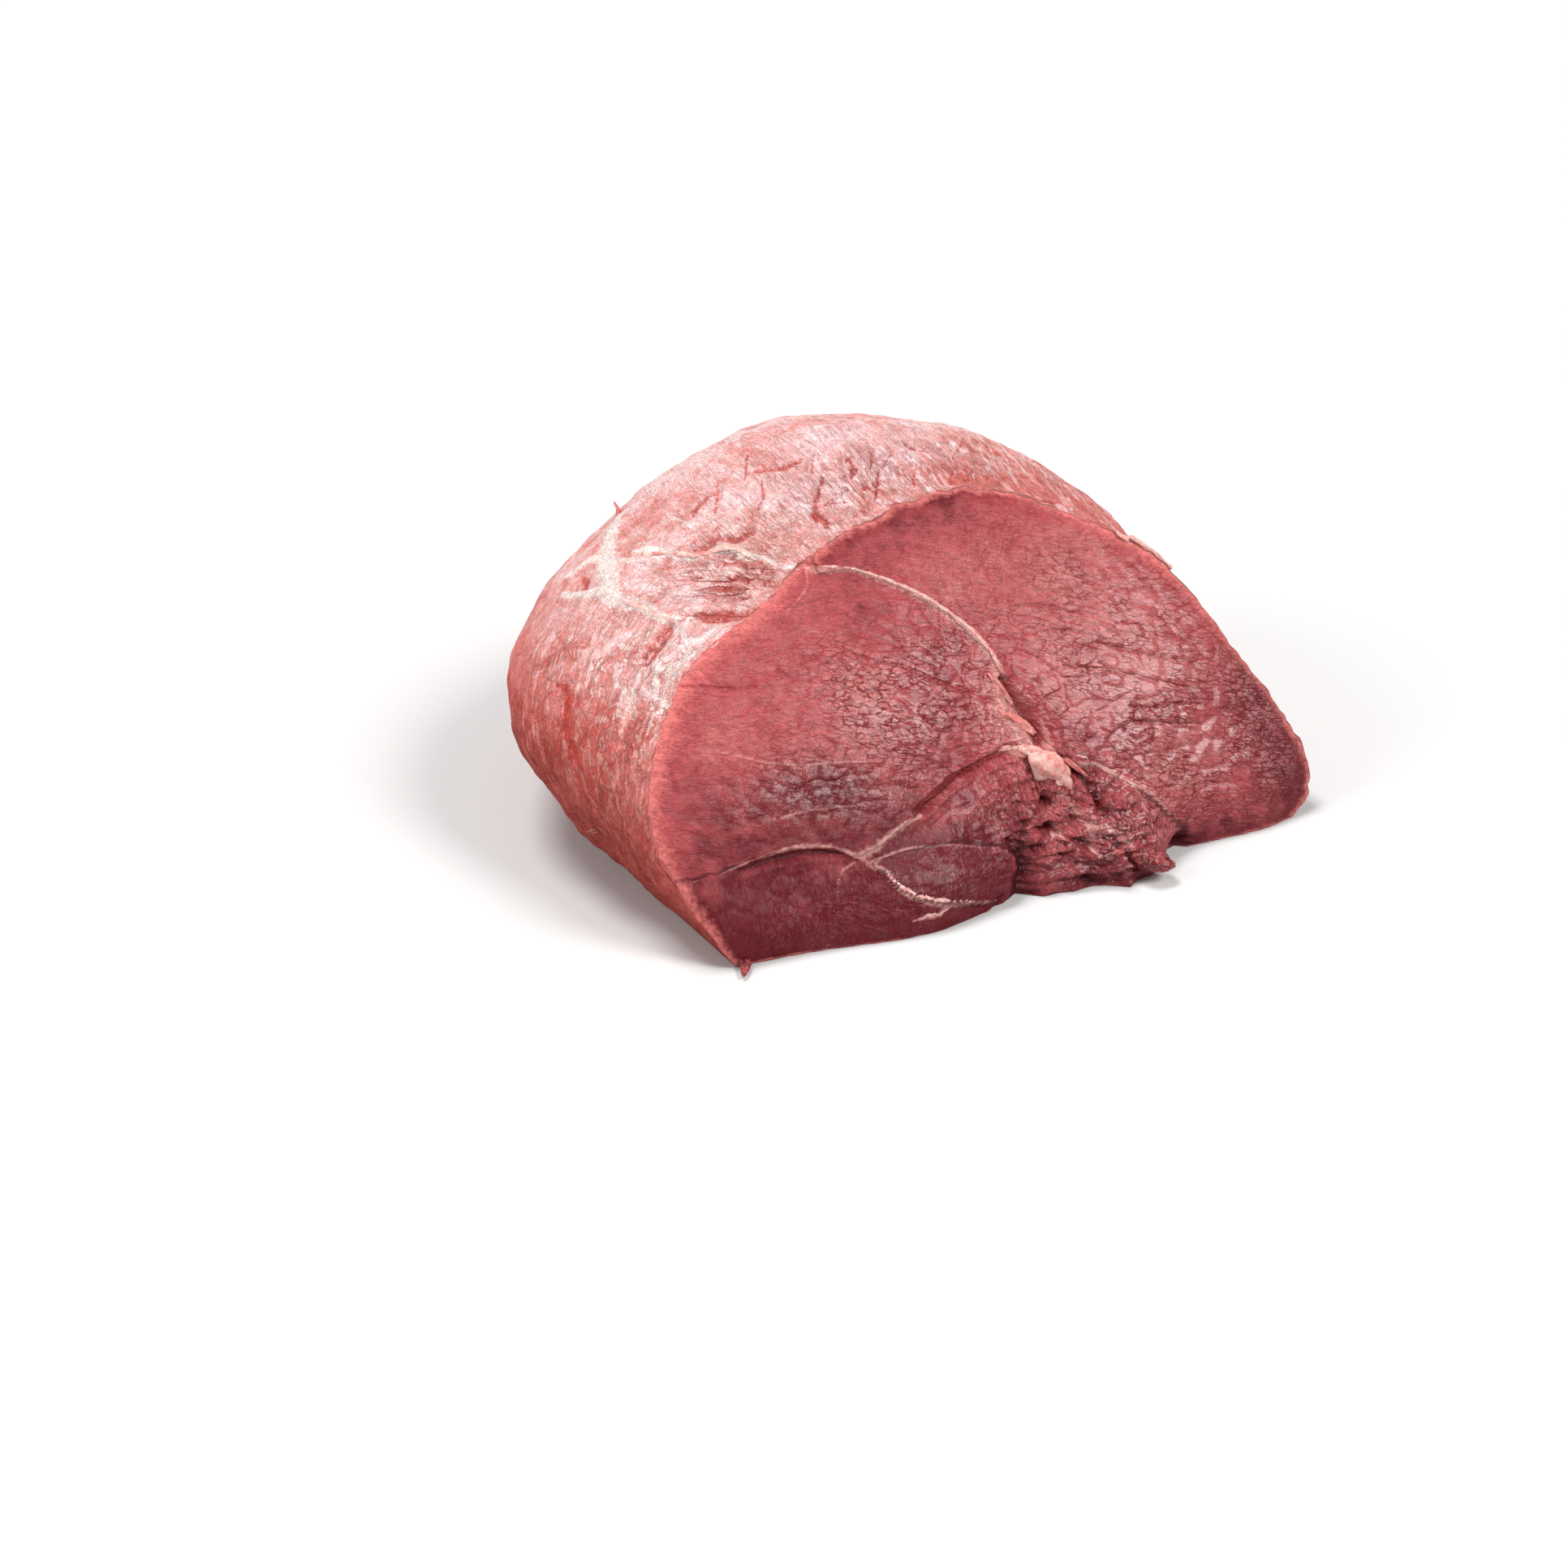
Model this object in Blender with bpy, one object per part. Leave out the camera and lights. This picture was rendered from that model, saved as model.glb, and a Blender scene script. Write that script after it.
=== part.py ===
# A raw joint of beef with one large sloping cut face, lying on its flat underside.
# Metres, +Z up. The cut faces -Y and leans back, and the origin is under the middle of the joint's box.
# The shape is set out from the left end of the cut's foot: x runs along the foot, y goes back into
# the meat and z is up. The finished mesh is moved onto the origin at the end.

import bpy
import bmesh
import numpy as np
from mathutils import Vector
from math import cos, radians, tan

# The cut: x and z of its edge, from the left end of the foot over the top to the right end
RIM = ((0.000, 0.000), (-0.009, 0.015), (-0.015, 0.038), (-0.005, 0.058), (0.018, 0.075),
       (0.045, 0.084), (0.064, 0.091), (0.094, 0.098), (0.126, 0.099), (0.156, 0.088),
       (0.181, 0.072), (0.197, 0.046), (0.209, 0.020), (0.209, 0.007), (0.200, 0.000))
CUT_CENTRE = (0.098, 0.040)
CUT_LEAN = radians(42.5)
FOOT_ROUNDING = 0.018
FOOT_HEIGHT = 0.024
# x, half width and how far forward of the foot each bulge comes
FOOT_BULGES = ((0.062, 0.034, 0.011), (0.130, 0.024, 0.014), (0.185, 0.018, 0.004))

# The body behind the cut: how far each rib reaches from its centre, every 30 degrees from +X over +Z
RIB_REACH = (0.114, 0.099, 0.084, 0.080, 0.085, 0.099, 0.130, 0.098, 0.078, 0.072, 0.075, 0.088)
RIB_STEP = radians(30)
BODY_DEPTH = 0.183
BACK_ROUNDING = 2.8
BACK_END_SHIFT = (0.008, 0.009)
BLEND_SHARE = 0.66

# Muscles that swell on the cut: x, z, half width, half height and rise
MUSCLES = ((0.060, 0.050, 0.050, 0.026, 0.007), (0.165, 0.050, 0.040, 0.025, 0.005),
           (0.075, 0.014, 0.020, 0.007, 0.003), (0.012, 0.010, 0.020, 0.010, 0.002),
           (0.145, 0.012, 0.010, 0.009, 0.003), (0.090, 0.028, 0.016, 0.006, 0.002))

# Seams between the muscles: points in x and z on the cut, half width and depth
SEAMS = (
    (((0.065, 0.088), (0.075, 0.088), (0.093, 0.079), (0.105, 0.068), (0.112, 0.053)), 0.0030, 0.0012),
    (((0.112, 0.053), (0.116, 0.046), (0.119, 0.039), (0.120, 0.035)), 0.0040, 0.0045),
    (((0.110, 0.035), (0.102, 0.038), (0.086, 0.035), (0.069, 0.030), (0.055, 0.025), (0.047, 0.023)),
     0.0030, 0.0025),
    (((0.045, 0.023), (0.035, 0.027), (0.020, 0.027), (0.005, 0.026), (-0.012, 0.025)), 0.0030, 0.0015),
    (((0.048, 0.021), (0.053, 0.016), (0.059, 0.011), (0.073, 0.006), (0.085, 0.002)), 0.0030, 0.0020),
    (((0.049, 0.021), (0.067, 0.022), (0.079, 0.021), (0.094, 0.016), (0.099, 0.011)), 0.0030, 0.0020),
    (((0.043, 0.023), (0.037, 0.020), (0.033, 0.010), (0.030, 0.002)), 0.0030, 0.0015),
    (((0.124, 0.031), (0.131, 0.030), (0.144, 0.022), (0.152, 0.013), (0.158, 0.007)), 0.0030, 0.0018),
    (((0.110, 0.030), (0.111, 0.024), (0.103, 0.020), (0.098, 0.012), (0.097, 0.004)), 0.0035, 0.0030),
)
# Holes torn in the cut and notches in its foot: x, z, radius and depth
HOLES = ((0.114, 0.023, 0.004, 0.006), (0.110, 0.017, 0.004, 0.005), (0.128, 0.015, 0.005, 0.005),
         (0.132, 0.009, 0.004, 0.005), (0.097, 0.004, 0.005, 0.006), (0.120, 0.002, 0.004, 0.005),
         (0.158, 0.002, 0.006, 0.008))
# Torn crags below the knob: x, z, half width, half height, rise and lump size
CRAGS = (0.120, 0.014, 0.022, 0.016, 0.0028, 0.009)

# The outer surface: angle round the cut's centre in degrees and depth behind the foot
FAT_STRIPS = (
    (((146, 0.119), (148, 0.108), (152, 0.100), (154, 0.091), (155, 0.085)), 0.0060, 0.0016),
    (((158, 0.112), (155, 0.111), (151, 0.107)), 0.0050, 0.0012),
    (((157, 0.099), (156, 0.094), (154, 0.089)), 0.0050, 0.0012),
    (((154, 0.086), (154, 0.081), (153, 0.071)), 0.0040, 0.0010),
    (((149, 0.099), (145, 0.091), (139, 0.085), (134, 0.080), (126, 0.067)), 0.0035, 0.0010),
)
CRACKS = (
    (((110, 0.084), (105, 0.083), (96, 0.081)), 0.0030, 0.0016),
    (((102, 0.093), (108, 0.087), (114, 0.080)), 0.0030, 0.0014),
    (((82, 0.094), (88, 0.089), (94, 0.081)), 0.0030, 0.0014),
    (((138, 0.086), (135, 0.087), (132, 0.088)), 0.0045, 0.0020),
    (((151, 0.073), (147, 0.067)), 0.0060, 0.0014),
    (((155, 0.071), (161, 0.066)), 0.0060, 0.0014),
)
UNEVEN_RISE = 0.0008
UNEVEN_SIZE = 0.030

# Mesh counts: columns along the rim and along the foot, rings on the cut and behind it
RIM_COLUMNS = 84
FOOT_COLUMNS = 18
CUT_RINGS = 17
BODY_RINGS = 27
RING_CROWDING = 1.3
LINE_STEPS = 8

# Lumps fused on the cut: x, z, half sizes, the way the longest one points, how far the middle stands
# out of the cut and how far it narrows to its tip
LUMPS = (
    ("knob", 0.119, 0.032, (0.0085, 0.0060, 0.0065), (0.9, 0.1, -0.35), 0.001, 0.2),
    ("knob_strand", 0.114, 0.037, (0.0090, 0.0035, 0.0035), (-0.5, 0.1, 0.9), 0.000, 0.5),
    ("corner_flap", 0.003, 0.001, (0.0080, 0.0030, 0.0025), (-0.5, -0.9, 0.0), -0.001, 0.7),
    ("torn_lobe", 0.139, 0.004, (0.0070, 0.0045, 0.0040), (0.8, -0.5, -0.1), -0.001, 0.5),
)
# Tags of membrane that stand on the outer surface: angle, depth, half length and half width at the root
TAGS = (("crest_tag", 145, 0.148, 0.0050, 0.0026), ("side_tag", -171, 0.059, 0.0045, 0.0028))
TAG_NARROWING = 0.85
LUMP_UNEVENNESS = 0.12

SEED = 7


def smooth(t):
    t = np.clip(t, 0.0, 1.0)
    return t * t * (3.0 - 2.0 * t)


def hump(distance, half_width):
    """1 where the distance is nothing, falling away to 0 past about twice the half width."""
    return np.exp(-(distance / half_width) ** 2)


def spline(points, steps):
    """A smooth line through the points (Catmull-Rom), with the given steps between two of them."""
    p = np.array(points, float)
    p = np.vstack([2 * p[0] - p[1], p, 2 * p[-1] - p[-2]])
    t = np.linspace(0, 1, steps, endpoint=False)[:, None]
    pieces = []
    for a, b, c, d in zip(p[:-3], p[1:-2], p[2:-1], p[3:]):
        pieces.append(0.5 * (2 * b + (c - a) * t + (2 * a - 5 * b + 4 * c - d) * t ** 2
                             + (3 * b - a - 3 * c + d) * t ** 3))
    return np.vstack(pieces + [p[-2:-1]])


def evenly(line, count):
    """The line again as so many points at equal distances, without its last one."""
    run = np.concatenate([[0], np.cumsum(np.linalg.norm(np.diff(line, axis=0), axis=1))])
    stops = np.linspace(0, run[-1], count, endpoint=False)
    return np.stack([np.interp(stops, run, line[:, k]) for k in range(line.shape[1])], -1)


def distance_to_line(points, line):
    """The distance from each point to the nearest place on a line of straight pieces."""
    nearest = np.full(points.shape[:-1], np.inf)
    for start, end in zip(line[:-1], line[1:]):
        along = end - start
        share = np.clip((points - start) @ along / (along @ along), 0, 1)
        gap = np.linalg.norm(points - start - share[..., None] * along, axis=-1)
        nearest = np.minimum(nearest, gap)
    return nearest


def rough(points, size):
    """Even-handed bumps between about -1 and 1: seeded sine waves, `size` apart, run across each other."""
    draw = np.random.default_rng(SEED)
    waves = draw.normal(size=(9, points.shape[-1]))
    waves *= draw.uniform(0.7, 1.4, (9, 1)) / np.linalg.norm(waves, axis=1, keepdims=True)
    turns = draw.uniform(0, 2 * np.pi, 9)
    return np.sin(points @ waves.T * (2 * np.pi / size) + turns).sum(-1) / 4.0


def on_slope(x, z):
    """Places on the cut measured along its slope, so that distances there are true."""
    return np.stack([x, z / cos(CUT_LEAN)], -1)


def cut_depth(x, z):
    """How far back the bare cut lies: a leaning plane whose foot is rounded and swells forward."""
    lean = tan(CUT_LEAN) * (np.sqrt(z * z + FOOT_ROUNDING ** 2) - FOOT_ROUNDING)
    foot = sum(rise * hump(x - at, half) for at, half, rise in FOOT_BULGES)
    return lean - foot * hump(z, FOOT_HEIGHT)


def cut_relief(x, z):
    """How far each place of the cut comes forward of its bare form."""
    place = on_slope(x, z)
    rise = sum(up * hump(x - mx, half_w) * hump(z - mz, half_h)
               for mx, mz, half_w, half_h, up in MUSCLES)
    for points, half, depth in SEAMS:
        line = spline(points, LINE_STEPS)
        rise = rise - depth * hump(distance_to_line(place, on_slope(line[:, 0], line[:, 1])), half)
    for hx, hz, radius, depth in HOLES:
        gap = np.linalg.norm(place - on_slope(hx, hz), axis=-1)
        rise = rise - depth * hump(gap, radius)
    cx, cz, half_w, half_h, up, size = CRAGS
    return rise + up * hump(x - cx, half_w) * hump(z - cz, half_h) * rough(place, size)


def rim_outline():
    """The rim as columns of x and z: round the top from left to right, then back along the foot."""
    top = evenly(spline(RIM, 20), RIM_COLUMNS)
    foot = evenly(np.array([RIM[-1], RIM[0]]), FOOT_COLUMNS)
    return np.vstack([top, foot])


def rib_reach(angle):
    """The body's radius at each angle, a smooth closed curve through RIB_REACH."""
    turn = np.mod(angle, 2 * np.pi) / RIB_STEP
    index = np.floor(turn).astype(int)
    t = turn - index
    reach = np.array(RIB_REACH)
    a, b, c, d = (reach[(index + k) % len(reach)] for k in (-1, 0, 1, 2))
    return 0.5 * (2 * b + (c - a) * t + (2 * a - 5 * b + 4 * c - d) * t ** 2
                  + (3 * b - a - 3 * c + d) * t ** 3)


def body_points(rim, depth_share):
    """The outer surface behind rim points: each goes back from the rim, swells out to the body's rib
    and closes over the far end. depth_share is 0 at the rim and 1 at the far end."""
    from_centre = rim - np.array(CUT_CENTRE)
    angle = np.arctan2(from_centre[..., 1], from_centre[..., 0])
    rim_depth = cut_depth(rim[..., 0], rim[..., 1])
    depth = rim_depth + (BODY_DEPTH - rim_depth) * depth_share
    full = np.clip(1 - (np.maximum(depth, 0) / BODY_DEPTH) ** BACK_ROUNDING, 0, 1) ** (1 / BACK_ROUNDING)
    blend = smooth(depth_share / BLEND_SHARE)
    reach = rib_reach(angle) * full * blend
    x = CUT_CENTRE[0] + BACK_END_SHIFT[0] * (1 - full) + (1 - blend) * from_centre[..., 0]
    z = CUT_CENTRE[1] + BACK_END_SHIFT[1] * (1 - full) + (1 - blend) * from_centre[..., 1]
    return np.stack([x + reach * np.cos(angle), depth, z + reach * np.sin(angle)], -1)


def outer_place(angle, depth):
    """The point of the bare outer surface at an angle in degrees and a depth behind the foot."""
    rim = evenly(spline(RIM, 20), 600)
    from_centre = rim - np.array(CUT_CENTRE)
    angles = np.unwrap(np.arctan2(from_centre[:, 1], from_centre[:, 0]))
    wanted = np.radians(angle)
    wanted += 2 * np.pi * np.round((angles.mean() - wanted) / (2 * np.pi))
    edge = np.array([np.interp(wanted, angles[::-1], rim[::-1, k]) for k in (0, 1)])
    rim_depth = cut_depth(edge[0], edge[1])
    return body_points(edge, (depth - rim_depth) / (BODY_DEPTH - rim_depth))


def surface_normals(grid):
    """Unit normals of a grid whose rows are rings, pointing out of the meat."""
    round_ring = np.roll(grid, -1, axis=1) - np.roll(grid, 1, axis=1)
    along = np.gradient(grid, axis=0)
    normal = np.cross(round_ring, along)
    return normal / np.maximum(np.linalg.norm(normal, axis=-1, keepdims=True), 1e-12)


def outer_relief(points):
    """How far each place of the outer surface stands out of its bare form."""
    rise = UNEVEN_RISE * rough(points, UNEVEN_SIZE)
    for group, sign in ((FAT_STRIPS, 1), (CRACKS, -1)):
        for places, half, height in group:
            line = spline([outer_place(angle, depth) for angle, depth in places], LINE_STEPS)
            rise = rise + sign * height * hump(distance_to_line(points, line), half)
    return rise


def joint_grid():
    """Rings of points from the middle of the cut out to its rim, then back over the body."""
    rim = rim_outline()
    centre = np.array(CUT_CENTRE)
    share = (np.arange(1, CUT_RINGS + 1) / CUT_RINGS)[:, None, None]
    flat = centre + share * (rim - centre)
    x, z = flat[..., 0], flat[..., 1]
    cut = np.stack([x, cut_depth(x, z) - cut_relief(x, z), z], -1)

    step = (np.arange(1, BODY_RINGS + 1) / (BODY_RINGS + 1)) ** RING_CROWDING
    depth_share = np.sin(step * np.pi / 2)[:, None]
    body = body_points(rim[None], depth_share)
    body[..., 1] -= cut_relief(rim[:, 0], rim[:, 1]) * (1 - depth_share) ** 8
    whole = np.concatenate([cut[-1:], body])
    raised = surface_normals(whole)[1:] * outer_relief(body)[..., None]
    body += raised * smooth(body[..., 2:] / 0.006)
    grid = np.concatenate([cut, body])
    grid[..., 2] = np.maximum(grid[..., 2], 0)
    return grid


def mesh_from_grid(name, grid, front, back):
    """A closed mesh: quads between the rings, and a fan at each end."""
    rings, columns, _ = grid.shape
    here = np.arange(columns)
    after = (here + 1) % columns
    row = (np.arange(rings - 1) * columns)[:, None]
    quads = np.stack([row + here, row + after, row + after + columns, row + here + columns], -1)
    front_index = rings * columns
    last = (rings - 1) * columns
    front_fan = np.stack([np.full(columns, front_index), after, here], -1)
    back_fan = np.stack([np.full(columns, front_index + 1), last + here, last + after], -1)
    mesh = bpy.data.meshes.new(name)
    points = np.vstack([grid.reshape(-1, 3), front, back])
    mesh.from_pydata(points.tolist(), [], quads.reshape(-1, 4).tolist() + front_fan.tolist()
                     + back_fan.tolist())
    return mesh


def face_outward(mesh):
    bm = bmesh.new()
    bm.from_mesh(mesh)
    bmesh.ops.recalc_face_normals(bm, faces=bm.faces)
    bm.to_mesh(mesh)
    bm.free()


def meat_material(name, colour, roughness):
    material = bpy.data.materials.new(name)
    material.use_nodes = True
    shader = material.node_tree.nodes["Principled BSDF"]
    shader.inputs["Base Color"].default_value = (*colour, 1.0)
    shader.inputs["Roughness"].default_value = roughness
    shader.inputs["Metallic"].default_value = 0.0
    return material


def build_body(cut_meat, outer_meat):
    """The main mass, with the cut in its own material."""
    grid = joint_grid()
    x, z = CUT_CENTRE
    front = (x, float(cut_depth(np.array(x), np.array(z)) - cut_relief(np.array(x), np.array(z))), z)
    back = (x + BACK_END_SHIFT[0], BODY_DEPTH, z + BACK_END_SHIFT[1])
    mesh = mesh_from_grid("beef_joint", grid, front, back)
    face_outward(mesh)
    mesh.materials.append(cut_meat)
    mesh.materials.append(outer_meat)
    columns = RIM_COLUMNS + FOOT_COLUMNS
    cut_faces = (CUT_RINGS - 1) * columns
    quad_faces = (CUT_RINGS + BODY_RINGS - 1) * columns
    index = np.ones(len(mesh.polygons), np.int32)
    index[:cut_faces] = 0
    index[quad_faces:quad_faces + columns] = 0
    mesh.polygons.foreach_set("material_index", index)
    joint = bpy.data.objects.new("beef_joint", mesh)
    bpy.context.scene.collection.objects.link(joint)
    return joint


def add_lump(name, centre, half_sizes, direction, narrowing, material, collection):
    """One uneven lump: a ball drawn out along a direction, narrower at its tip, flat on the floor."""
    bm = bmesh.new()
    bmesh.ops.create_uvsphere(bm, u_segments=12, v_segments=7, radius=1.0)
    turn = Vector(direction).to_track_quat("X", "Z")
    for vertex in bm.verts:
        stretch = 1 + LUMP_UNEVENNESS * float(rough(np.array(vertex.co), 1.6))
        width = stretch * (1 - narrowing * (vertex.co.x + 1) / 2)
        local = Vector((vertex.co.x * half_sizes[0] * stretch, vertex.co.y * half_sizes[1] * width,
                        vertex.co.z * half_sizes[2] * width))
        vertex.co = turn @ local + Vector(centre)
        vertex.co.z = max(vertex.co.z, 0.0)
    bmesh.ops.dissolve_degenerate(bm, edges=bm.edges, dist=1e-5)
    mesh = bpy.data.meshes.new(name)
    bm.to_mesh(mesh)
    bm.free()
    face_outward(mesh)
    mesh.materials.append(material)
    lump = bpy.data.objects.new(name, mesh)
    collection.objects.link(lump)


def add_cut_lump(name, x, z, half_sizes, direction, proud, narrowing, material, collection):
    """A lump whose middle stands out of the cut by so much, at x and z."""
    at, up = np.array(x), np.array(z)
    depth = float(cut_depth(at, up) - cut_relief(at, up)) - proud
    add_lump(name, (x, depth, z), half_sizes, direction, narrowing, material, collection)


def add_tag(name, angle, depth, half_length, half_width, material, collection):
    """A thin tongue of membrane that stands out of the outer surface."""
    place = outer_place(angle, depth)
    outward = np.array([place[0] - CUT_CENTRE[0], 0.0, place[2] - CUT_CENTRE[1]])
    outward /= np.linalg.norm(outward)
    centre = place + outward * half_length * 0.5
    half_sizes = (half_length, half_width, half_width)
    add_lump(name, centre, half_sizes, outward, TAG_NARROWING, material, collection)


def fuse(joint, collection):
    """Joins everything in the collection to the joint with one union, then removes the loose pieces."""
    union = joint.modifiers.new("fused pieces", "BOOLEAN")
    union.operation = "UNION"
    union.operand_type = "COLLECTION"
    union.collection = collection
    union.solver = "EXACT"
    bpy.context.view_layer.update()
    fused = bpy.data.meshes.new_from_object(joint.evaluated_get(bpy.context.evaluated_depsgraph_get()))
    joint.modifiers.clear()
    joint.data = fused
    for piece in list(collection.objects):
        bpy.data.objects.remove(piece)
    bpy.data.collections.remove(collection)


def set_on_origin(joint):
    """Moves the mesh so that the middle of its box stands over the origin."""
    points = np.array([vertex.co for vertex in joint.data.vertices])
    middle = (points.min(0) + points.max(0)) / 2
    points -= (middle[0], middle[1], 0.0)
    joint.data.vertices.foreach_set("co", points.ravel())
    joint.data.update()


def main():
    for old in list(bpy.data.objects):
        bpy.data.objects.remove(old)
    cut_meat = meat_material("cut_meat", (0.36, 0.045, 0.055), 0.38)
    outer_meat = meat_material("outer_meat", (0.55, 0.14, 0.14), 0.45)
    fat = meat_material("fat", (0.80, 0.50, 0.42), 0.45)

    joint = build_body(cut_meat, outer_meat)
    trimmings = bpy.data.collections.new("trimmings")
    bpy.context.scene.collection.children.link(trimmings)
    for name, *measures in LUMPS:
        add_cut_lump(name, *measures, fat if name.startswith("knob") else cut_meat, trimmings)
    for name, *measures in TAGS:
        add_tag(name, *measures, outer_meat, trimmings)
    fuse(joint, trimmings)
    set_on_origin(joint)
    joint.data.shade_smooth()
    joint.data.set_sharp_from_angle(angle=radians(50))


main()
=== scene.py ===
from math import cos, pi, radians, sin, tan

import bpy
import numpy as np
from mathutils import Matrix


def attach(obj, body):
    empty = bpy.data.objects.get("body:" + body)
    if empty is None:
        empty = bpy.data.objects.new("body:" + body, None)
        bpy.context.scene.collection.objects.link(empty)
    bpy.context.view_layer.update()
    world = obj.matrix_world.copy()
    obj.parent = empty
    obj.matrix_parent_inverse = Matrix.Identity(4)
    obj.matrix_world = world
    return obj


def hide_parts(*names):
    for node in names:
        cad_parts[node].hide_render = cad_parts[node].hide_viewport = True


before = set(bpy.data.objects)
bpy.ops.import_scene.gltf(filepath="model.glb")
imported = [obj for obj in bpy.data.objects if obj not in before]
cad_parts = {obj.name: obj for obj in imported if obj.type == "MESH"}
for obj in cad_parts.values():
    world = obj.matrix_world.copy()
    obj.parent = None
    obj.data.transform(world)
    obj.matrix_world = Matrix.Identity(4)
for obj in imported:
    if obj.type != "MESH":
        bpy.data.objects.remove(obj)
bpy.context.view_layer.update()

# Shapes are set out in millimetres in the chart of the cut: x along its foot, y back into the meat, z up.
# chartMiddle is the place in the chart that stands over the part's origin.
mm = 0.001
chartMiddle = (93.84, 84.16, 0.0)


def smooth(t):
    # an even step from 0 to 1: three times t squared, less twice t cubed
    t = np.clip(t, 0.0, 1.0)
    return t * t * (3.0 - 2.0 * t)


def hump(gap, half):
    # one in the middle, falling off as the exponential of minus (gap over half width) squared
    return np.exp(-(gap / half) ** 2)


def cubicBetween(a, b, c, d, t):
    # a Catmull-Rom cubic in t from b to c, leaning on their neighbours a and d
    return 0.5 * (2 * b + (c - a) * t + (2 * a - 5 * b + 4 * c - d) * t ** 2
                  + (3 * b - a - 3 * c + d) * t ** 3)


def spline(points, steps):
    # a curve through all the points, with a cubic between each two
    p = np.array(points, float)
    p = np.vstack([2 * p[0] - p[1], p, 2 * p[-1] - p[-2]])
    t = np.linspace(0, 1, steps, endpoint=False)[None, :, None]
    a, b, c, d = p[:-3, None], p[1:-2, None], p[2:-1, None], p[3:, None]
    curve = cubicBetween(a, b, c, d, t)
    return np.vstack([curve.reshape(-1, p.shape[1]), p[-2:-1]])


def evenly(line, count):
    # the same line with its points at equal distances along it, the last one left out
    run = np.concatenate([[0], np.cumsum(np.linalg.norm(np.diff(line, axis=0), axis=1))])
    stops = np.linspace(0, run[-1], count, endpoint=False)
    return np.stack([np.interp(stops, run, line[:, k]) for k in range(line.shape[1])], -1)


def lineGap(places, line, halves):
    # distance to the nearest place of a line, counted in the line's own half widths there
    gap = np.full(places.shape[:-1], 99.0)
    for start, end, startHalf, endHalf in zip(line[:-1], line[1:], halves[:-1], halves[1:]):
        along = end - start
        share = np.clip((places - start) @ along / (along @ along), 0, 1)
        far = np.linalg.norm(places - start - share[..., None] * along, axis=-1)
        gap = np.minimum(gap, far / (startHalf + share * (endHalf - startHalf)))
    return gap


def waves(places, size, seed):
    # rolling bumps between about -1 and 1: nine sine waves of like length run across each other
    draw = np.random.default_rng(seed)
    ways = draw.normal(size=(9, places.shape[-1]))
    ways *= draw.uniform(0.7, 1.4, (9, 1)) / np.linalg.norm(ways, axis=1, keepdims=True)
    turns = draw.uniform(0, 2 * pi, 9)
    return np.sin(places @ ways.T * (2 * pi / size) + turns).sum(-1) / 4.0


def cellEdges(x, y, size, seed):
    # irregular cells: one point strays in each square of a grid, and the value is the distance to the
    # second nearest point less that to the nearest, so it is 0 where two cells meet
    column, row = np.floor(x / size), np.floor(y / size)
    first = np.full(x.shape, 9.0)
    second = np.full(x.shape, 9.0)
    for i in (-1, 0, 1):
        for j in (-1, 0, 1):
            a, b = column + i, row + j
            straysX = np.modf(np.abs(np.sin(a * 12.9898 + b * 78.233 + seed) * 43758.5453))[0]
            straysY = np.modf(np.abs(np.sin(a * 39.3461 + b * 11.135 + seed * 2) * 24634.6345))[0]
            far = np.hypot(a + straysX - x / size, b + straysY - y / size)
            second = np.minimum(second, np.maximum(first, far))
            first = np.minimum(first, far)
    return second - first


jointForm = {
    "rim": ((0, 0), (-9, 15), (-15, 38), (-5, 58), (18, 75), (45, 84), (64, 91), (94, 98), (126, 99),
            (156, 88), (181, 72), (197, 46), (209, 20), (209, 7), (200, 0)),   # edge of the cut, x and z
    "cutCentre": (98.0, 40.0),
    "cutLean": radians(42.5),
    "footRounding": 18.0,
    "footHeight": 24.0,
    "footBulges": ((62, 34, 11), (130, 24, 14), (185, 18, 4)),   # x, half width, how far forward
    "ribReach": (114, 99, 84, 80, 85, 99, 130, 98, 78, 72, 75, 88),   # every 30 degrees from +x over +z
    "bodyDepth": 183.0,
    "backRounding": 2.8,
    "backEndShift": (8.0, 9.0),
    "blendShare": 0.66,
    "edgeRounding": (1.4, 3.0),   # how far the cut's edge rolls back, and how wide that is
    "edgeWaves": ((0.5, 14.0), (0.35, 4.5)),   # how the cut's edge strays in and out, and over what length
    "rimColumns": 372,
    "footColumns": 60,
    "cutRings": 112,
    "bodyRings": 117,
    "ringCrowding": 1.3,
    "girthRadius": 90.0,          # turns angles round the body into running lengths for patterns
}

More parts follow.
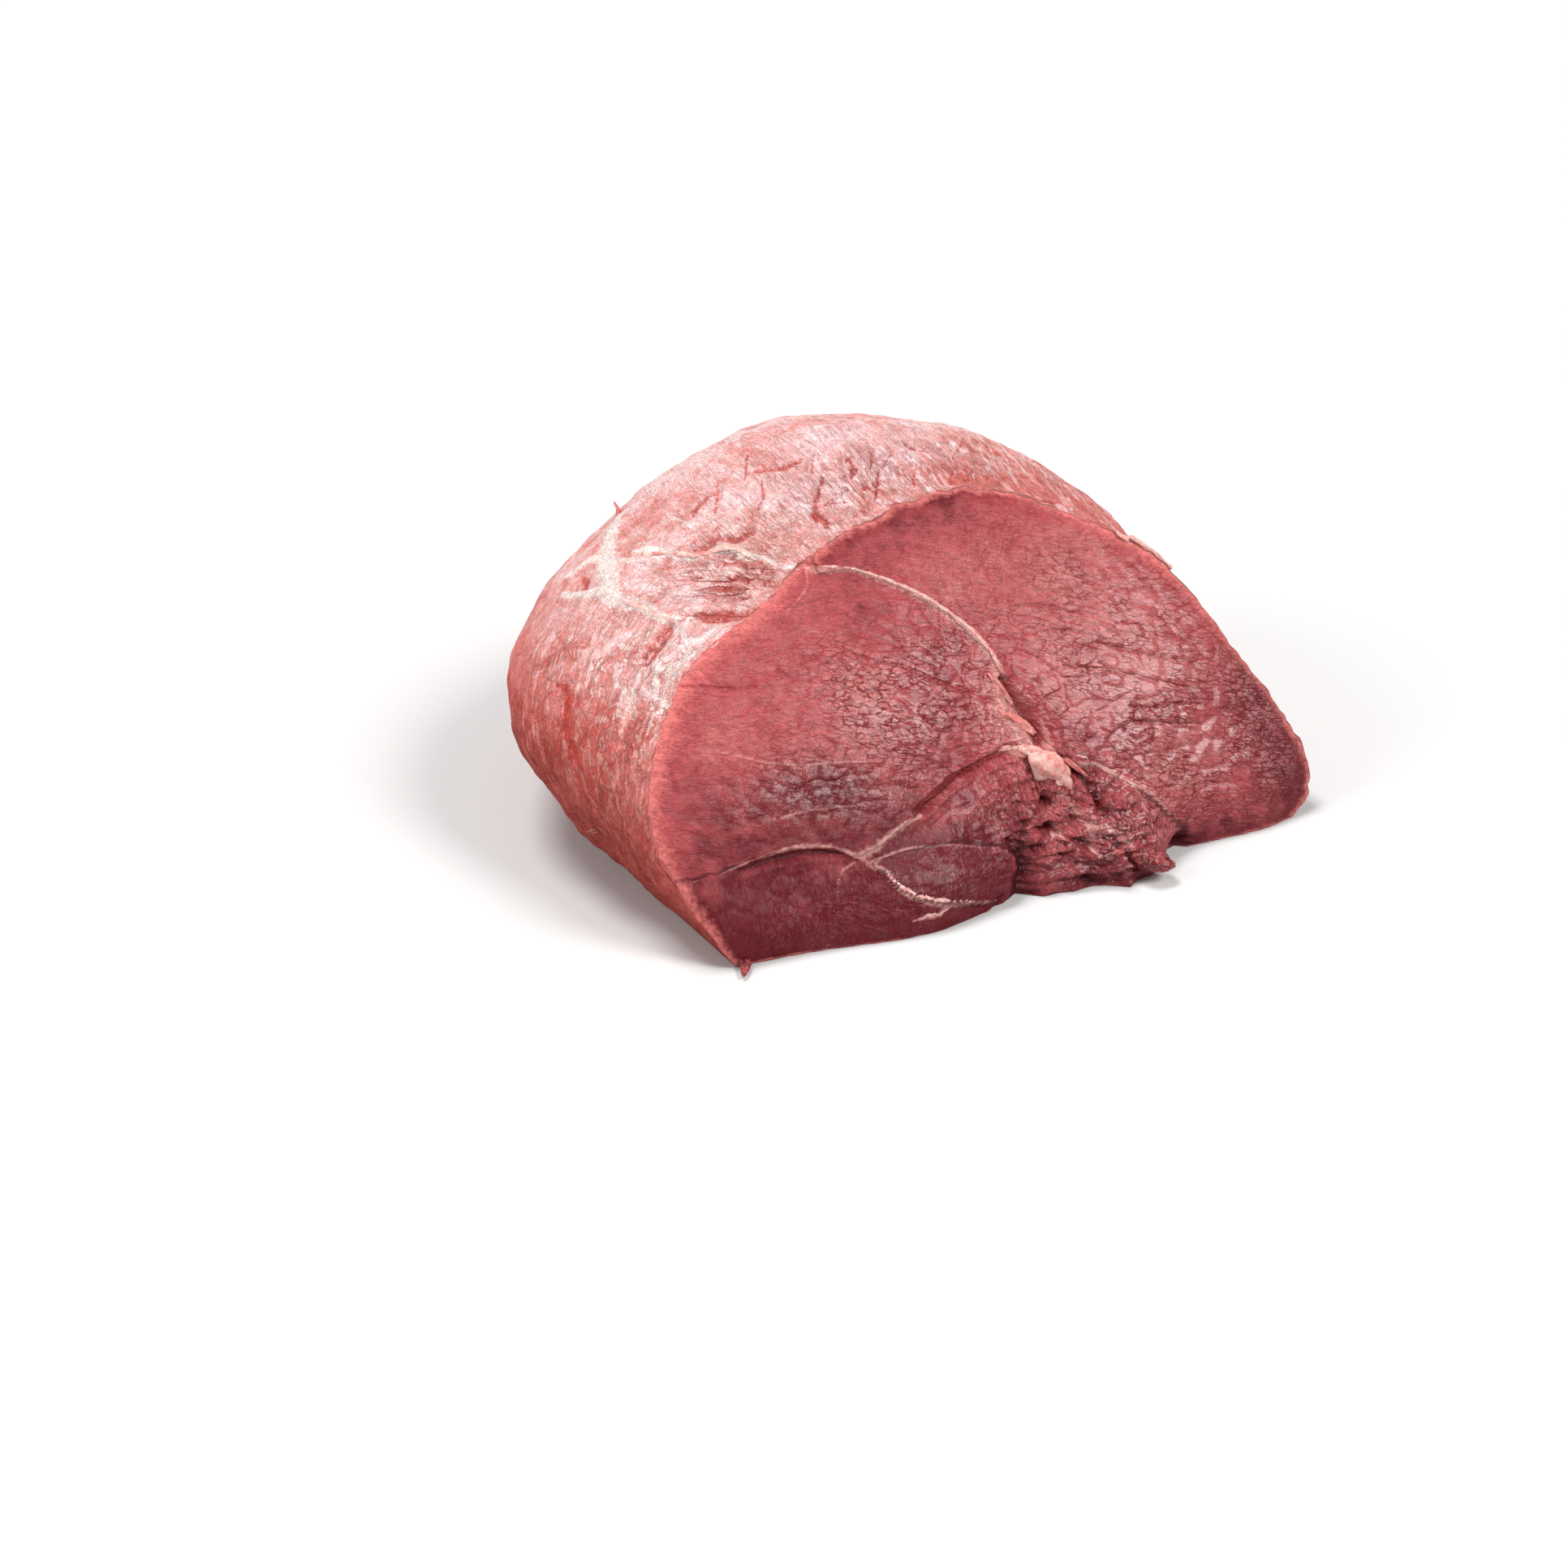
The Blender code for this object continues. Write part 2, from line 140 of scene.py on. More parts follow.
# Lines on the cut: look, rise, then x, z and half width at each point
cutLines = (
    ("fat", 0.25, ((62, 89, 0.9), (69, 88, 0.8), (76, 87, 0.7), (83, 84, 0.9), (89, 81, 1.0),
                   (96, 77, 1.0), (102, 72, 1.1), (108, 66, 1.2), (111, 61, 1.3), (112.5, 57, 1.1),
                   (113, 53, 0.5))),
    ("red", -3.2, ((112, 54, 0.8), (113, 49, 1.3), (115, 45, 1.6), (117, 41, 1.7), (118, 37, 1.6))),
    ("fat", 0.2, ((113, 45, 0.5), (114, 41, 0.9), (113, 37, 1.3), (109, 36.5, 1.1), (104, 38, 0.8))),
    ("fat", 0.2, ((120, 43, 0.4), (120.5, 40, 0.7), (120, 36, 1.2))),
    ("red", -2.0, ((106, 37.5, 1.0), (100, 37, 0.8), (92, 36, 0.7), (84, 35, 0.7), (77, 33, 0.7),
                   (69, 30, 0.7))),
    ("fat", 0.15, ((69, 29, 0.35), (63, 28, 0.63), (56, 26, 0.84), (50, 24, 1.05), (46, 23, 1.12))),
    ("fat", 0.1, ((45, 23, 0.7), (39, 26, 0.55), (35, 27, 0.65), (25, 28, 0.65), (14, 27, 0.35),
                  (5, 26, 0.25), (-3, 25, 0.2), (-15, 25, 0.15))),
    ("dark", -1.2, ((40, 24.5, 0.6), (30, 26, 0.7), (20, 26, 0.7), (8, 25, 0.5))),
    ("fat", 0.6, ((47, 21, 0.7), (52, 18, 0.8), (54, 14, 0.9), (59, 11, 1.0), (66, 8, 1.0),
                  (74, 6, 0.8), (82, 3.5, 0.6), (87, 2, 0.4))),
    ("fat", 0.1, ((48, 21, 0.6), (54, 22, 0.42), (61, 22.5, 0.36), (67, 22, 0.3))),
    ("thin", 0.1, ((66, 22, 0.36), (74, 21, 0.36), (82, 19, 0.36), (95, 15, 0.24))),
    ("fat", 0.1, ((56, 5, 0.5), (60, 5.5, 0.7), (64, 5, 0.7), (67, 7, 0.5), (69, 9, 0.4))),
    ("dark", -4.0, ((96, 17, 0.8), (98, 14, 1.4), (99, 9, 1.8), (97, 4, 2.0), (96, 0, 2.2))),
    ("thin", 0.1, ((43, 22, 0.4), (37, 19, 0.3), (33, 10, 0.3), (31, 5, 0.3), (29, 1, 0.4))),
    ("thin", 0.1, ((12, 54, 0.3), (21, 51, 0.36), (27, 49, 0.36), (38, 47, 0.36), (49, 46, 0.36),
                   (62, 44, 0.3))),
    ("thin", 0.1, ((22, 34, 0.24), (25, 35.5, 0.36), (31, 36, 0.36), (38, 36, 0.36), (49, 35, 0.24))),
    ("thin", 0.1, ((65, 56, 0.24), (71, 54, 0.36), (75, 52, 0.36), (79, 50, 0.36), (80, 47, 0.36),
                   (74, 43, 0.24))),
    ("thin", 0.05, ((61.5, 89, 0.3), (60, 86, 0.3), (55, 83, 0.3), (50, 81, 0.25))),
    ("fat", 0.3, ((124, 31.5, 0.9), (132, 30, 0.8), (137, 27, 0.8), (143, 23, 0.7), (149, 19, 0.6),
                  (153, 12, 0.4))),
    ("thin", 0.1, ((154, 19, 0.24), (163, 18, 0.3), (172, 18.5, 0.3), (181, 20, 0.24))),
    ("thin", 0.1, ((90, 33, 0.24), (91, 28, 0.3), (94, 24, 0.36), (93, 19, 0.3))),
    ("red", -0.5, ((60, 72, 0.3), (72, 66, 0.5), (81, 63, 0.5), (90, 58, 0.6), (99, 54, 0.7),
                   (106, 50, 0.6))),
    ("red", -0.4, ((-8, 70, 0.3), (13, 69, 0.45), (24, 67, 0.45), (34, 66, 0.3))),
    ("crack", -0.5, ((137, 59, 0.33), (150, 57, 0.51), (162, 53, 0.51), (172, 50, 0.45),
                     (182, 46, 0.22))),
    ("crack", -0.5, ((134, 54, 0.33), (148, 51, 0.51), (160, 47, 0.51), (177, 41, 0.22))),
    ("crack", -0.5, ((152, 41, 0.33), (161, 39, 0.45), (170, 38.5, 0.45), (180, 36, 0.22))),
    ("crack", -0.5, ((140, 35, 0.33), (150, 37, 0.45), (161, 35, 0.45), (176, 32, 0.22))),
    ("crack", -0.5, ((132, 63, 0.22), (140, 62, 0.45), (148, 60, 0.22))),
    ("crack", -0.5, ((125, 70, 0.22), (134, 69, 0.45), (144, 66, 0.45), (152, 64, 0.22))),
    ("crack", -0.5, ((120, 60, 0.33), (127, 57, 0.45), (131, 52, 0.33))),
    ("crack", -0.5, ((30, 40, 0.33), (38, 43, 0.45), (45, 42, 0.45), (52, 44, 0.33))),
    ("crack", -0.5, ((70, 44, 0.33), (76, 42, 0.45), (80, 39, 0.57), (84, 37, 0.45))),
    ("fat", 0.3, ((110.5, 58, 0.8), (109.5, 52, 2.2), (109.5, 47, 3.0), (111, 42, 3.2), (112, 38, 2.6),
                  (108, 37, 1.6))),
    ("dark", -3.0, ((121, 33, 0.8), (124, 30, 1.2), (127, 27, 1.1), (129, 22, 0.7))),
    ("dark", -1.6, ((126, 13.5, 0.6), (130, 11, 1.0), (132, 7, 1.0), (132, 3, 0.7))),
    ("fat", 0.5, ((124, 17, 0.3), (127, 16, 0.7), (131, 13.5, 0.8), (134, 9, 0.5))),
    ("fat", 0.3, ((118, 26, 0.5), (121, 20, 0.8), (122, 15, 0.8), (121, 9, 0.5))),
)
# Holes: x, z, radius and depth. Muscles: x, z, half width, half height and rise
cutHoles = ((113, 23, 1.8, 5.0), (110, 17, 2.4, 6.0), (104, 13, 1.8, 3.5), (100, 17, 1.6, 3.0),
            (128, 20, 1.4, 2.5), (120, 12, 1.8, 3.0), (107, 26, 1.2, 2.0), (115, 8, 1.6, 3.0),
            (120, 2, 4.0, 5.0), (154, 2, 5.0, 8.0), (88, 1, 3.0, 3.0), (140, 6, 1.4, 2.0))
cutMuscles = ((60, 50, 50, 26, 7), (165, 50, 40, 25, 5), (75, 14, 20, 7, 3), (12, 10, 20, 10, 2),
              (145, 12, 10, 9, 3), (90, 28, 16, 6, 2))
cutCrags = {"at": (118, 14), "halfSize": (24, 17), "rise": 2.2, "lumps": (9, 4.2, 2.2)}
cutLobes = {"rise": 0.35, "size": 7.0}

# Lines on the outer surface: look, rise, then angle in degrees, depth and half width at each point
skinLines = (
    ("fat", 0.8, ((146, 140, 1.5), (148, 135, 2.6), (152, 124, 3.0), (154, 114, 3.2), (156, 105, 3.4),
                  (157, 98, 3.2), (156, 93, 1.5))),
    ("fat", 0.6, ((153, 121, 2.2), (156, 126, 1.8), (159, 127, 1.6), (162, 131, 0.9))),
    ("fat", 0.6, ((162, 121, 1.0), (161, 116, 1.6), (159, 109, 1.8), (157, 102, 2.2))),
    ("fat", 0.4, ((157, 96, 2.4), (156, 93, 2.2), (155, 86, 1.8), (155, 79, 1.6), (154, 74, 1.5))),
    ("fat", 0.3, ((154, 74, 1.0), (151, 67, 0.6), (147, 62, 0.5), (144, 60, 0.4))),
    ("fat", 0.4, ((152, 113, 1.4), (149, 106, 1.3), (146, 104, 1.5), (143, 96, 1.4), (141, 94, 1.2))),
    ("fat", 0.5, ((149, 112, 0.8), (147, 109, 1.3), (146, 105, 1.1))),
    ("fat", 0.6, ((141, 94, 1.2), (137, 92, 2.0), (135, 89, 2.2), (135, 85, 1.5))),
    ("fat", 0.4, ((135, 85, 1.4), (133, 79, 1.2), (131, 71, 1.1), (128, 67, 1.0))),
    ("tear", -1.8, ((135, 97, 0.8), (133, 93, 1.3), (130, 92, 1.1), (127, 92, 0.6))),
    ("tear", -1.3, ((141, 98, 0.6), (139, 96, 1.0), (137, 96, 0.9), (134, 98, 0.5))),
    ("tear", -1.3, ((112, 88, 0.8), (111, 86, 1.6), (111, 82, 1.2), (112, 79, 0.6))),
    ("tear", -1.2, ((151, 69, 1.0), (149, 66, 2.0), (146, 63, 1.8), (141, 61, 1.0))),
    ("tear", -1.6, ((155, 74, 1.2), (157, 72, 2.2), (160, 69, 2.4), (162, 67, 1.2))),
    ("tear", -0.8, ((158, 120, 0.8), (158, 117, 1.6), (159, 113, 0.9))),
    ("tear", -0.5, ((171, 90, 0.8), (171, 84, 1.4), (175, 76, 1.4), (177, 68, 1.2), (179, 60, 0.6))),
    ("crack", -0.9, ((110, 90, 0.24), (108, 89, 0.48), (104, 88, 0.54), (99, 86, 0.48), (95, 83, 0.3))),
    ("crack", -0.7, ((92, 81, 0.3), (88, 81, 0.42), (86, 82, 0.24))),
    ("crack", -1.0, ((78, 102, 0.3), (81, 99, 0.48), (85, 95, 0.54), (89, 89, 0.54), (93, 83, 0.36))),
    ("crack", -0.9, ((99, 104, 0.3), (102, 99, 0.54), (106, 94, 0.6), (111, 88, 0.66), (113, 83, 0.36))),
    ("crack", -0.6, ((97, 113, 0.24), (102, 105, 0.42), (103, 101, 0.24))),
    ("crack", -0.6, ((78, 97, 0.24), (81, 90, 0.42), (84, 83, 0.3))),
    ("crack", -0.5, ((88, 110, 0.18), (92, 103, 0.36))),
    ("crack", -0.6, ((52, 110, 0.24), (59, 100, 0.36), (63, 93, 0.24))),
    ("crack", -0.6, ((109, 133, 0.24), (115, 119, 0.42), (120, 110, 0.3))),
    ("crack", -1.0, ((104, 96, 0.3), (108, 92, 0.6), (110, 88, 0.3))),
    ("crack", -0.8, ((82, 108, 0.24), (84, 102, 0.5), (87, 97, 0.3))),
    ("crack", -0.8, ((72, 96, 0.24), (76, 90, 0.5), (79, 84, 0.3))),
    ("crack", -0.7, ((116, 108, 0.24), (119, 102, 0.5), (123, 98, 0.3))),
    ("crack", -0.7, ((62, 92, 0.24), (66, 86, 0.5), (69, 80, 0.3))),
    ("crack", -0.8, ((124, 118, 0.24), (128, 110, 0.5), (132, 104, 0.3))),
    ("crack", -0.8, ((45, 88, 0.24), (48, 80, 0.5), (50, 74, 0.3))),
    ("tear", -0.7, ((58, 84, 0.4), (63, 83, 0.9), (68, 84, 0.4))),
    ("tear", -0.9, ((101, 112, 0.4), (106, 110, 1.0), (112, 111, 0.9), (117, 114, 0.4))),
    ("tear", -0.7, ((86, 92, 0.4), (90, 90, 0.9), (96, 91, 0.5))),
    ("tear", -0.6, ((136, 108, 0.4), (132, 112, 0.9), (126, 113, 0.4))),
    ("tear", -0.7, ((38, 76, 0.4), (42, 72, 0.9), (47, 71, 0.4))),
    ("tear", -0.9, ((94, 96, 0.5), (91, 100, 0.9), (90, 106, 0.5))),
    ("tear", -0.8, ((66, 100, 0.4), (70, 104, 0.8), (72, 110, 0.4))),
    ("crack", -0.9, ((148.5, 99.5, 0.4), (146, 96, 0.55), (144, 93.5, 0.6), (142, 89.5, 0.4))),
    ("crack", -1.5, ((146, 83.5, 0.5), (144, 81, 0.8), (141.5, 79, 1.1), (139, 78.5, 1.0),
                     (136.5, 79.5, 0.5))),
    ("crack", -1.2, ((147.5, 75, 0.4), (144.5, 73.5, 0.6), (142, 71.5, 0.7), (138.5, 70, 0.7),
                     (135.5, 69.5, 0.5))),
    ("crack", -1.1, ((146.5, 77, 0.4), (142.5, 75.5, 0.6), (140.5, 74.5, 0.6), (137.5, 74, 0.6),
                     (134.5, 75, 0.4))),
    ("crack", -1.0, ((145.5, 69.5, 0.4), (142.5, 68, 0.6), (140, 66.5, 0.6), (137, 66, 0.4))),
    ("crack", -0.7, ((146, 89, 0.4), (144.5, 87, 0.6), (142.5, 85.5, 0.4))),
    ("crack", -0.7, ((149.5, 89.5, 0.4), (148, 87, 0.5), (146.5, 85.5, 0.3))),
    ("tear", -1.0, ((140.5, 87, 0.4), (138, 85.5, 0.9), (136, 84, 0.5))),
    ("crack", -1.3, ((152.5, 70, 0.5), (150.5, 67, 0.9), (148, 64.5, 0.8), (145, 61, 0.5))),
    ("tear", -1.0, ((152.5, 74.5, 0.5), (151, 71.5, 1.2), (149, 68.5, 1.3), (146.5, 65, 1.0),
                    (144.5, 61, 0.5))),
    ("crack", -0.8, ((138, 94.5, 0.3), (137, 94, 0.6), (135.5, 94.5, 0.3))),
    ("ridge", 0.8, ((149, 76, 0.4), (147, 73.5, 0.5), (145.5, 69, 0.6), (143, 66.5, 0.6),
                    (140, 65, 0.4))),
    ("ridge", 0.8, ((148, 75.5, 0.4), (145.5, 72, 0.5), (143, 70, 0.6), (139.5, 68.7, 0.5))),
    ("ridge", 0.8, ((135.5, 80.5, 0.4), (137.5, 77.5, 0.6), (139, 77, 0.6), (141.5, 77.5, 0.4))),
    ("ridge", 0.6, ((142.5, 88.5, 0.4), (140, 88.3, 0.5), (137.5, 87.5, 0.4))),
    ("ridge", 0.7, ((141, 73, 0.4), (138, 72.3, 0.5), (134.5, 72.5, 0.4))),
    ("web", 0.3, ((154, 76, 0.8), (156, 69, 0.8), (159, 67, 0.8), (161, 65, 0.64), (162, 62, 0.8))),
    ("web", 0.3, ((152, 72, 0.64), (155, 68, 0.72), (157, 59, 0.64), (160, 58, 0.8), (162, 62, 0.8))),
    ("web", 0.3, ((151, 62, 0.64), (153, 55, 0.64), (156, 57, 0.64), (159, 56, 0.8), (162, 56, 0.64))),
    ("web", 0.3, ((162, 62, 0.8), (163, 59, 0.8), (165, 57, 0.48))),
    ("web", 0.3, ((161, 54, 0.64), (164, 53, 0.8), (165, 50, 0.8), (167, 49, 0.64), (170, 46, 0.48))),
    ("web", 0.3, ((149, 66, 0.48), (152, 62, 0.64), (155, 62, 0.64), (157, 63, 0.48))),
)
skinFolds = {"angle": 141, "depth": 79, "halfAngle": 9, "halfDepth": 13, "rise": 0.8, "spacing": 5.6,
             "across": 1.33, "back": 0.53, "stray": 1.4}
skinUneven = {"rise": 0.7, "size": 30.0, "fineRise": 0.32, "fineSize": 7.0}
skinShades = {   # how the outer surface reddens and darkens low down, partly its own redder meat and partly painted shade near the floor, and reddens at the back; and where its fibres fade out
    "redShadeLow": 3.1, "redShadeBelow": 74.0, "redShadePower": 1.5, "redBack": 0.4, "redFrom": 95.0, "redOver": 60.0,
    "fadeFrom": 92.0, "fadeOver": 46.0,
}
farGap = 6.0   # the gap, in half widths, where there is no line near

# Grain of the cut: its turn in degrees and the outline of each muscle; a later one lies over an earlier one
cutGrain = (
    (-14, [(-40, -5), (-40, 120), (65, 120), (65, 88), (76, 87), (89, 81), (102, 72), (111, 61),
           (112, 53), (115, 45), (119, 39), (110, 35), (60, -5)]),
    (-20, [(65, 88), (76, 87), (89, 81), (102, 72), (111, 61), (112, 53), (115, 45), (119, 39),
           (124, 31), (131, 30), (144, 22), (152, 13), (158, 7), (160, -5), (240, -5), (240, 120),
           (65, 120)]),
    (84, [(-40, 25), (5, 26), (25, 28), (45, 23), (55, 25), (69, 30), (86, 35), (102, 38), (110, 35),
          (111, 24), (103, 20), (99, 11), (96, 4), (97, -5), (-40, -5)]),
    (10, [(48, 21), (57, 22), (67, 22), (79, 21), (94, 16), (99, 11), (95, 4), (85, 2), (73, 6),
          (65, 9), (59, 11), (53, 16)]),
    (62, [(110, 35), (111, 24), (103, 20), (99, 11), (96, 4), (97, -5), (160, -5), (158, 7), (152, 13),
          (144, 22), (131, 30), (124, 31)]),
)

# Broad zones of the cut: x, z, half width, half height, turn in degrees and strength
cutZones = {
    "tone": ((60, 55, 46, 24, 0, 0.62), (28, 72, 26, 18, 30, 0.2), (155, 60, 48, 32, -20, 0.66),
             (150, 45, 26, 14, 0, 0.25), (110, 82, 40, 14, 0, 0.3), (138, 16, 14, 10, 0, 0.35),
             (88, 29, 18, 7, 10, 0.25), (118, 20, 12, 14, 0, 0.32), (38, 39, 20, 7, -5, -0.22),
             (4, 38, 14, 14, 0, -0.1), (200, 22, 9, 16, 0, -0.1), (172, 22, 24, 16, 0, 0.3),
             (12, 58, 18, 18, 0, 0.3), (-6, 40, 14, 34, 0, 0.28), (48, 8, 17, 8, 0, -0.12),
             (18, 10, 14, 8, 0, 0.08), (44, 80, 30, 9, 14, 0.25), (62, 6, 22, 6, 0, -0.12),
             (158, 24, 16, 10, 0, 0.3), (140, 14, 12, 9, 0, 0.2), (107, 45, 8, 10, 0, 0.3),
             (150, 84, 30, 8, -28, 0.15), (40, 12, 44, 11, 4, -0.12), (75, 14, 18, 8, 0, -0.2),
             (60, 8, 24, 8, 0, -0.1), (118, 12, 18, 12, 0, 0.12)),
    "crackle": ((75, 52, 30, 16, -10, 1.0), (40, 12, 42, 9, 0, 0.28), (20, 50, 18, 12, 0, 0.15),
                (38, 40, 22, 8, -5, 1.0), (155, 45, 44, 24, -10, 0.9), (100, 66, 14, 12, 0, 0.6),
                (75, 15, 18, 6, 0, 0.35), (168, 24, 26, 14, -10, 0.8), (198, 26, 10, 16, 0, 0.8),
                (140, 16, 14, 10, 0, 0.7), (90, 27, 16, 8, 0, 0.7), (118, 14, 20, 14, 0, 0.5),
                (58, 62, 16, 10, 0, 0.4), (160, 72, 30, 10, -25, 0.5)),
    # stroke: where painted highlight chips lie, with cracks between them
    "stroke": ((40, 40, 26, 8, -5, 1.0), (120, 13, 18, 12, 0, 0.6), (50, 10, 24, 8, 0, 0.35),
               (72, 36, 14, 6, 10, 0.4), (75, 15, 18, 6, 0, 0.6), (165, 24, 26, 10, 0, 0.3),
               (198, 26, 10, 16, 0, 0.7), (155, 42, 36, 16, -8, 0.25), (128, 80, 34, 12, -10, 0.3),
               (95, 62, 14, 12, 0, 0.25), (138, 16, 14, 9, 0, 0.4), (88, 28, 16, 7, 0, 0.4)),
    # glint: wetter, shinier places, where painted highlight dashes are also laid
    "glint": ((38, 40, 22, 7, -5, 0.7), (75, 54, 30, 14, -10, 0.6), (155, 44, 38, 20, -8, 0.85),
              (92, 64, 16, 12, 30, 0.5), (75, 15, 16, 5, 0, 0.3), (198, 28, 10, 16, 0, 0.4),
              (40, 12, 34, 8, 0, 0.1), (138, 18, 14, 9, 0, 0.6), (90, 27, 16, 7, 0, 0.5),
              (120, 14, 18, 12, 0, 1.0), (170, 66, 16, 10, -30, 0.4), (108, 42, 8, 12, 0, 0.6),
              (165, 24, 24, 12, 0, 1.0)),
}
# Broad zones of the outer surface: angle, depth, half angle, half depth and strength
skinZones = {
    "crackle": ((95, 94, 20, 14, 1.0), (56, 96, 12, 16, 0.7), (112, 122, 12, 10, 0.5),
                (142, 82, 12, 16, 0.4)),
    # red: redder meat; the zones low on the left wall also darken it, as painted shade
    "red": ((178, 92, 9, 30, 0.15), (-174, 108, 12, 26, 0.4), (-177, 118, 8, 34, 0.4),
            (108, 112, 10, 10, 0.15), (133, 112, 10, 8, 0.15), (96, 90, 8, 8, 0.2),
            (122, 86, 8, 8, 0.25), (-170, 60, 16, 40, 0.8), (150, 64, 8, 8, 0.1),
            (160, 62, 8, 12, 0.1), (132, 120, 12, 12, 0.3), (60, 84, 30, 24, 0.65),
            (30, 60, 25, 40, 0.6), (-160, 120, 30, 60, 0.4), (0, 100, 30, 80, 0.6),
            (176, 52, 9, 16, 0.35)),
    "silver": ((76, 100, 12, 9, 1.0), (90, 118, 16, 8, 0.7), (128, 122, 12, 12, 0.5),
               (104, 98, 14, 10, 0.55), (158, 67, 11, 14, 0.4)),
    "wall": ((180, 80, 34, 120, 1.0), (160, 60, 16, 24, 0.6)),
    # glint: wetter places, where painted highlight specks are also laid
    "glint": ((174, 54, 14, 20, 1.4), (165, 72, 8, 14, 0.9), (50, 92, 14, 14, 0.5),
              (100, 92, 22, 14, 0.3)),
}
# The bright strip along the edge of the cut: angle, half angle and how wide
rimStrip = ((170, 30, 0.90), (140, 16, 0.40), (95, 35, 0.35), (20, 30, 0.50), (-18, 14, 0.40),
            (-150, 20, 0.1))


def onSlope(x, z):
    # places on the cut measured along its slope
    return np.stack([x, z / cos(jointForm["cutLean"])], -1)


def cutDepth(x, z):
    # a leaning plane, the tangent of the lean times height, rounded at its foot, less the foot's bulges
    form = jointForm
    rounding = form["footRounding"]
    lean = tan(form["cutLean"]) * (np.sqrt(z * z + rounding ** 2) - rounding)
    foot = sum(forward * hump(x - at, half) for at, half, forward in form["footBulges"])
    return lean - foot * hump(z, form["footHeight"])


def turnedHump(x, z, zone):
    # an oval hump: x and z turned by the zone's angle, each over its half size, squared and added
    atX, atZ, halfX, halfZ, turn, strength = zone
    c, s = cos(radians(turn)), sin(radians(turn))
    u, v = (x - atX) * c + (z - atZ) * s, (z - atZ) * c - (x - atX) * s
    return strength * np.exp(-(u / halfX) ** 2 - (v / halfZ) ** 2)


def cutLineGap(places, points):
    # distance to one of the cut's lines, in its half widths
    line = spline(points, 6)
    return lineGap(places, onSlope(line[:, 0], line[:, 1]), line[:, 2])


def cutGaps(x, z):
    # the nearest line of each look on the cut, in half widths
    places = onSlope(x, z)
    gaps = {look: np.full(x.shape, farGap) for look in ("fat", "thin", "red", "dark", "crack")}
    for look, rise, points in cutLines:
        gaps[look] = np.minimum(gaps[look], cutLineGap(places, points))
    # the holes join the dark lines, so they are painted dark too, as painted shade
    for hx, hz, radius, depth in cutHoles:
        gap = np.linalg.norm(places - onSlope(hx, hz), axis=-1) + 0.8 * waves(places, 4, 3)
        gaps["dark"] = np.minimum(gaps["dark"], gap / (0.55 * radius))
    return gaps


def cutRelief(x, z):
    # swelling muscles, less the grooves and holes, plus torn crags and low lobes between fine cracks
    places = onSlope(x, z)
    rise = sum(up * hump(x - mx, halfW) * hump(z - mz, halfH) for mx, mz, halfW, halfH, up in cutMuscles)
    for look, height, points in cutLines:
        gap = cutLineGap(places, points)
        if height < -1.0:   # a deep groove has a lip on each side
            rise = rise + height * hump(gap, 1.6) - 0.25 * height * hump(gap - 3.6, 1.4)
        else:
            rise = rise + height * hump(gap, 1.1)
    for hx, hz, radius, depth in cutHoles:
        gap = np.linalg.norm(places - onSlope(hx, hz), axis=-1)
        rise = rise - depth * hump(gap + 0.5 * waves(places, 5, 3), radius)
    cx, cz = cutCrags["at"]
    halfW, halfH = cutCrags["halfSize"]
    torn = hump(x - cx, halfW) * hump(z - cz, halfH)
    big, middle, small = cutCrags["lumps"]
    crag = waves(places, big, 11) + 0.6 * waves(places, middle, 12) + 0.35 * waves(places, small, 13)
    rise = rise + cutCrags["rise"] * torn * crag
    lobes = smooth(cellEdges(places[..., 0] + waves(places, 9, 5), places[..., 1] + waves(places, 9, 6),
                             cutLobes["size"], 2.0) / 0.35)
    return rise + cutLobes["rise"] * (lobes - 0.6)


def rimOutline():
    # the curve through the edge's points and the straight foot, each point moved out from the middle by waves
    form = jointForm
    top = evenly(spline(form["rim"], 20), form["rimColumns"])
    foot = evenly(np.array([form["rim"][-1], form["rim"][0]], float), form["footColumns"])
    out = top - np.array(form["cutCentre"])
    out /= np.linalg.norm(out, axis=1, keepdims=True)
    big, small = form["edgeWaves"]
    stray = big[0] * waves(top, big[1], 41) + small[0] * waves(top, small[1], 42)
    return np.vstack([top + out * (stray * smooth(top[:, 1] / 8.0))[:, None], foot])


def ribReach(angle):
    # a closed Catmull-Rom curve of radius against angle
    reach = np.array(jointForm["ribReach"], float)
    turn = np.mod(angle, 2 * pi) / (2 * pi / len(reach))
    index = np.floor(turn).astype(int)
    t = turn - index
    a, b, c, d = (reach[(index + k) % len(reach)] for k in (-1, 0, 1, 2))
    return cubicBetween(a, b, c, d, t)


def skinPoints(rim, share):
    # depth goes from the rim to the far end by the share; the ring blends from the rim's own outline to the
    # rib's, and the rib shrinks as (1 - (depth / whole depth) ^ p) ^ (1 / p)
    form = jointForm
    centre = np.array(form["cutCentre"])
    out = rim - centre
    angle = np.arctan2(out[..., 1], out[..., 0])
    rimDepth = cutDepth(rim[..., 0], rim[..., 1])
    depth = rimDepth + (form["bodyDepth"] - rimDepth) * share
    p = form["backRounding"]
    full = np.clip(1 - (np.maximum(depth, 0) / form["bodyDepth"]) ** p, 0, 1) ** (1 / p)
    blend = smooth(share / form["blendShare"])
    reach = ribReach(angle) * full * blend
    x = centre[0] + form["backEndShift"][0] * (1 - full) + (1 - blend) * out[..., 0] + reach * np.cos(angle)
    z = centre[1] + form["backEndShift"][1] * (1 - full) + (1 - blend) * out[..., 1] + reach * np.sin(angle)
    return np.stack([x, depth, z], -1)


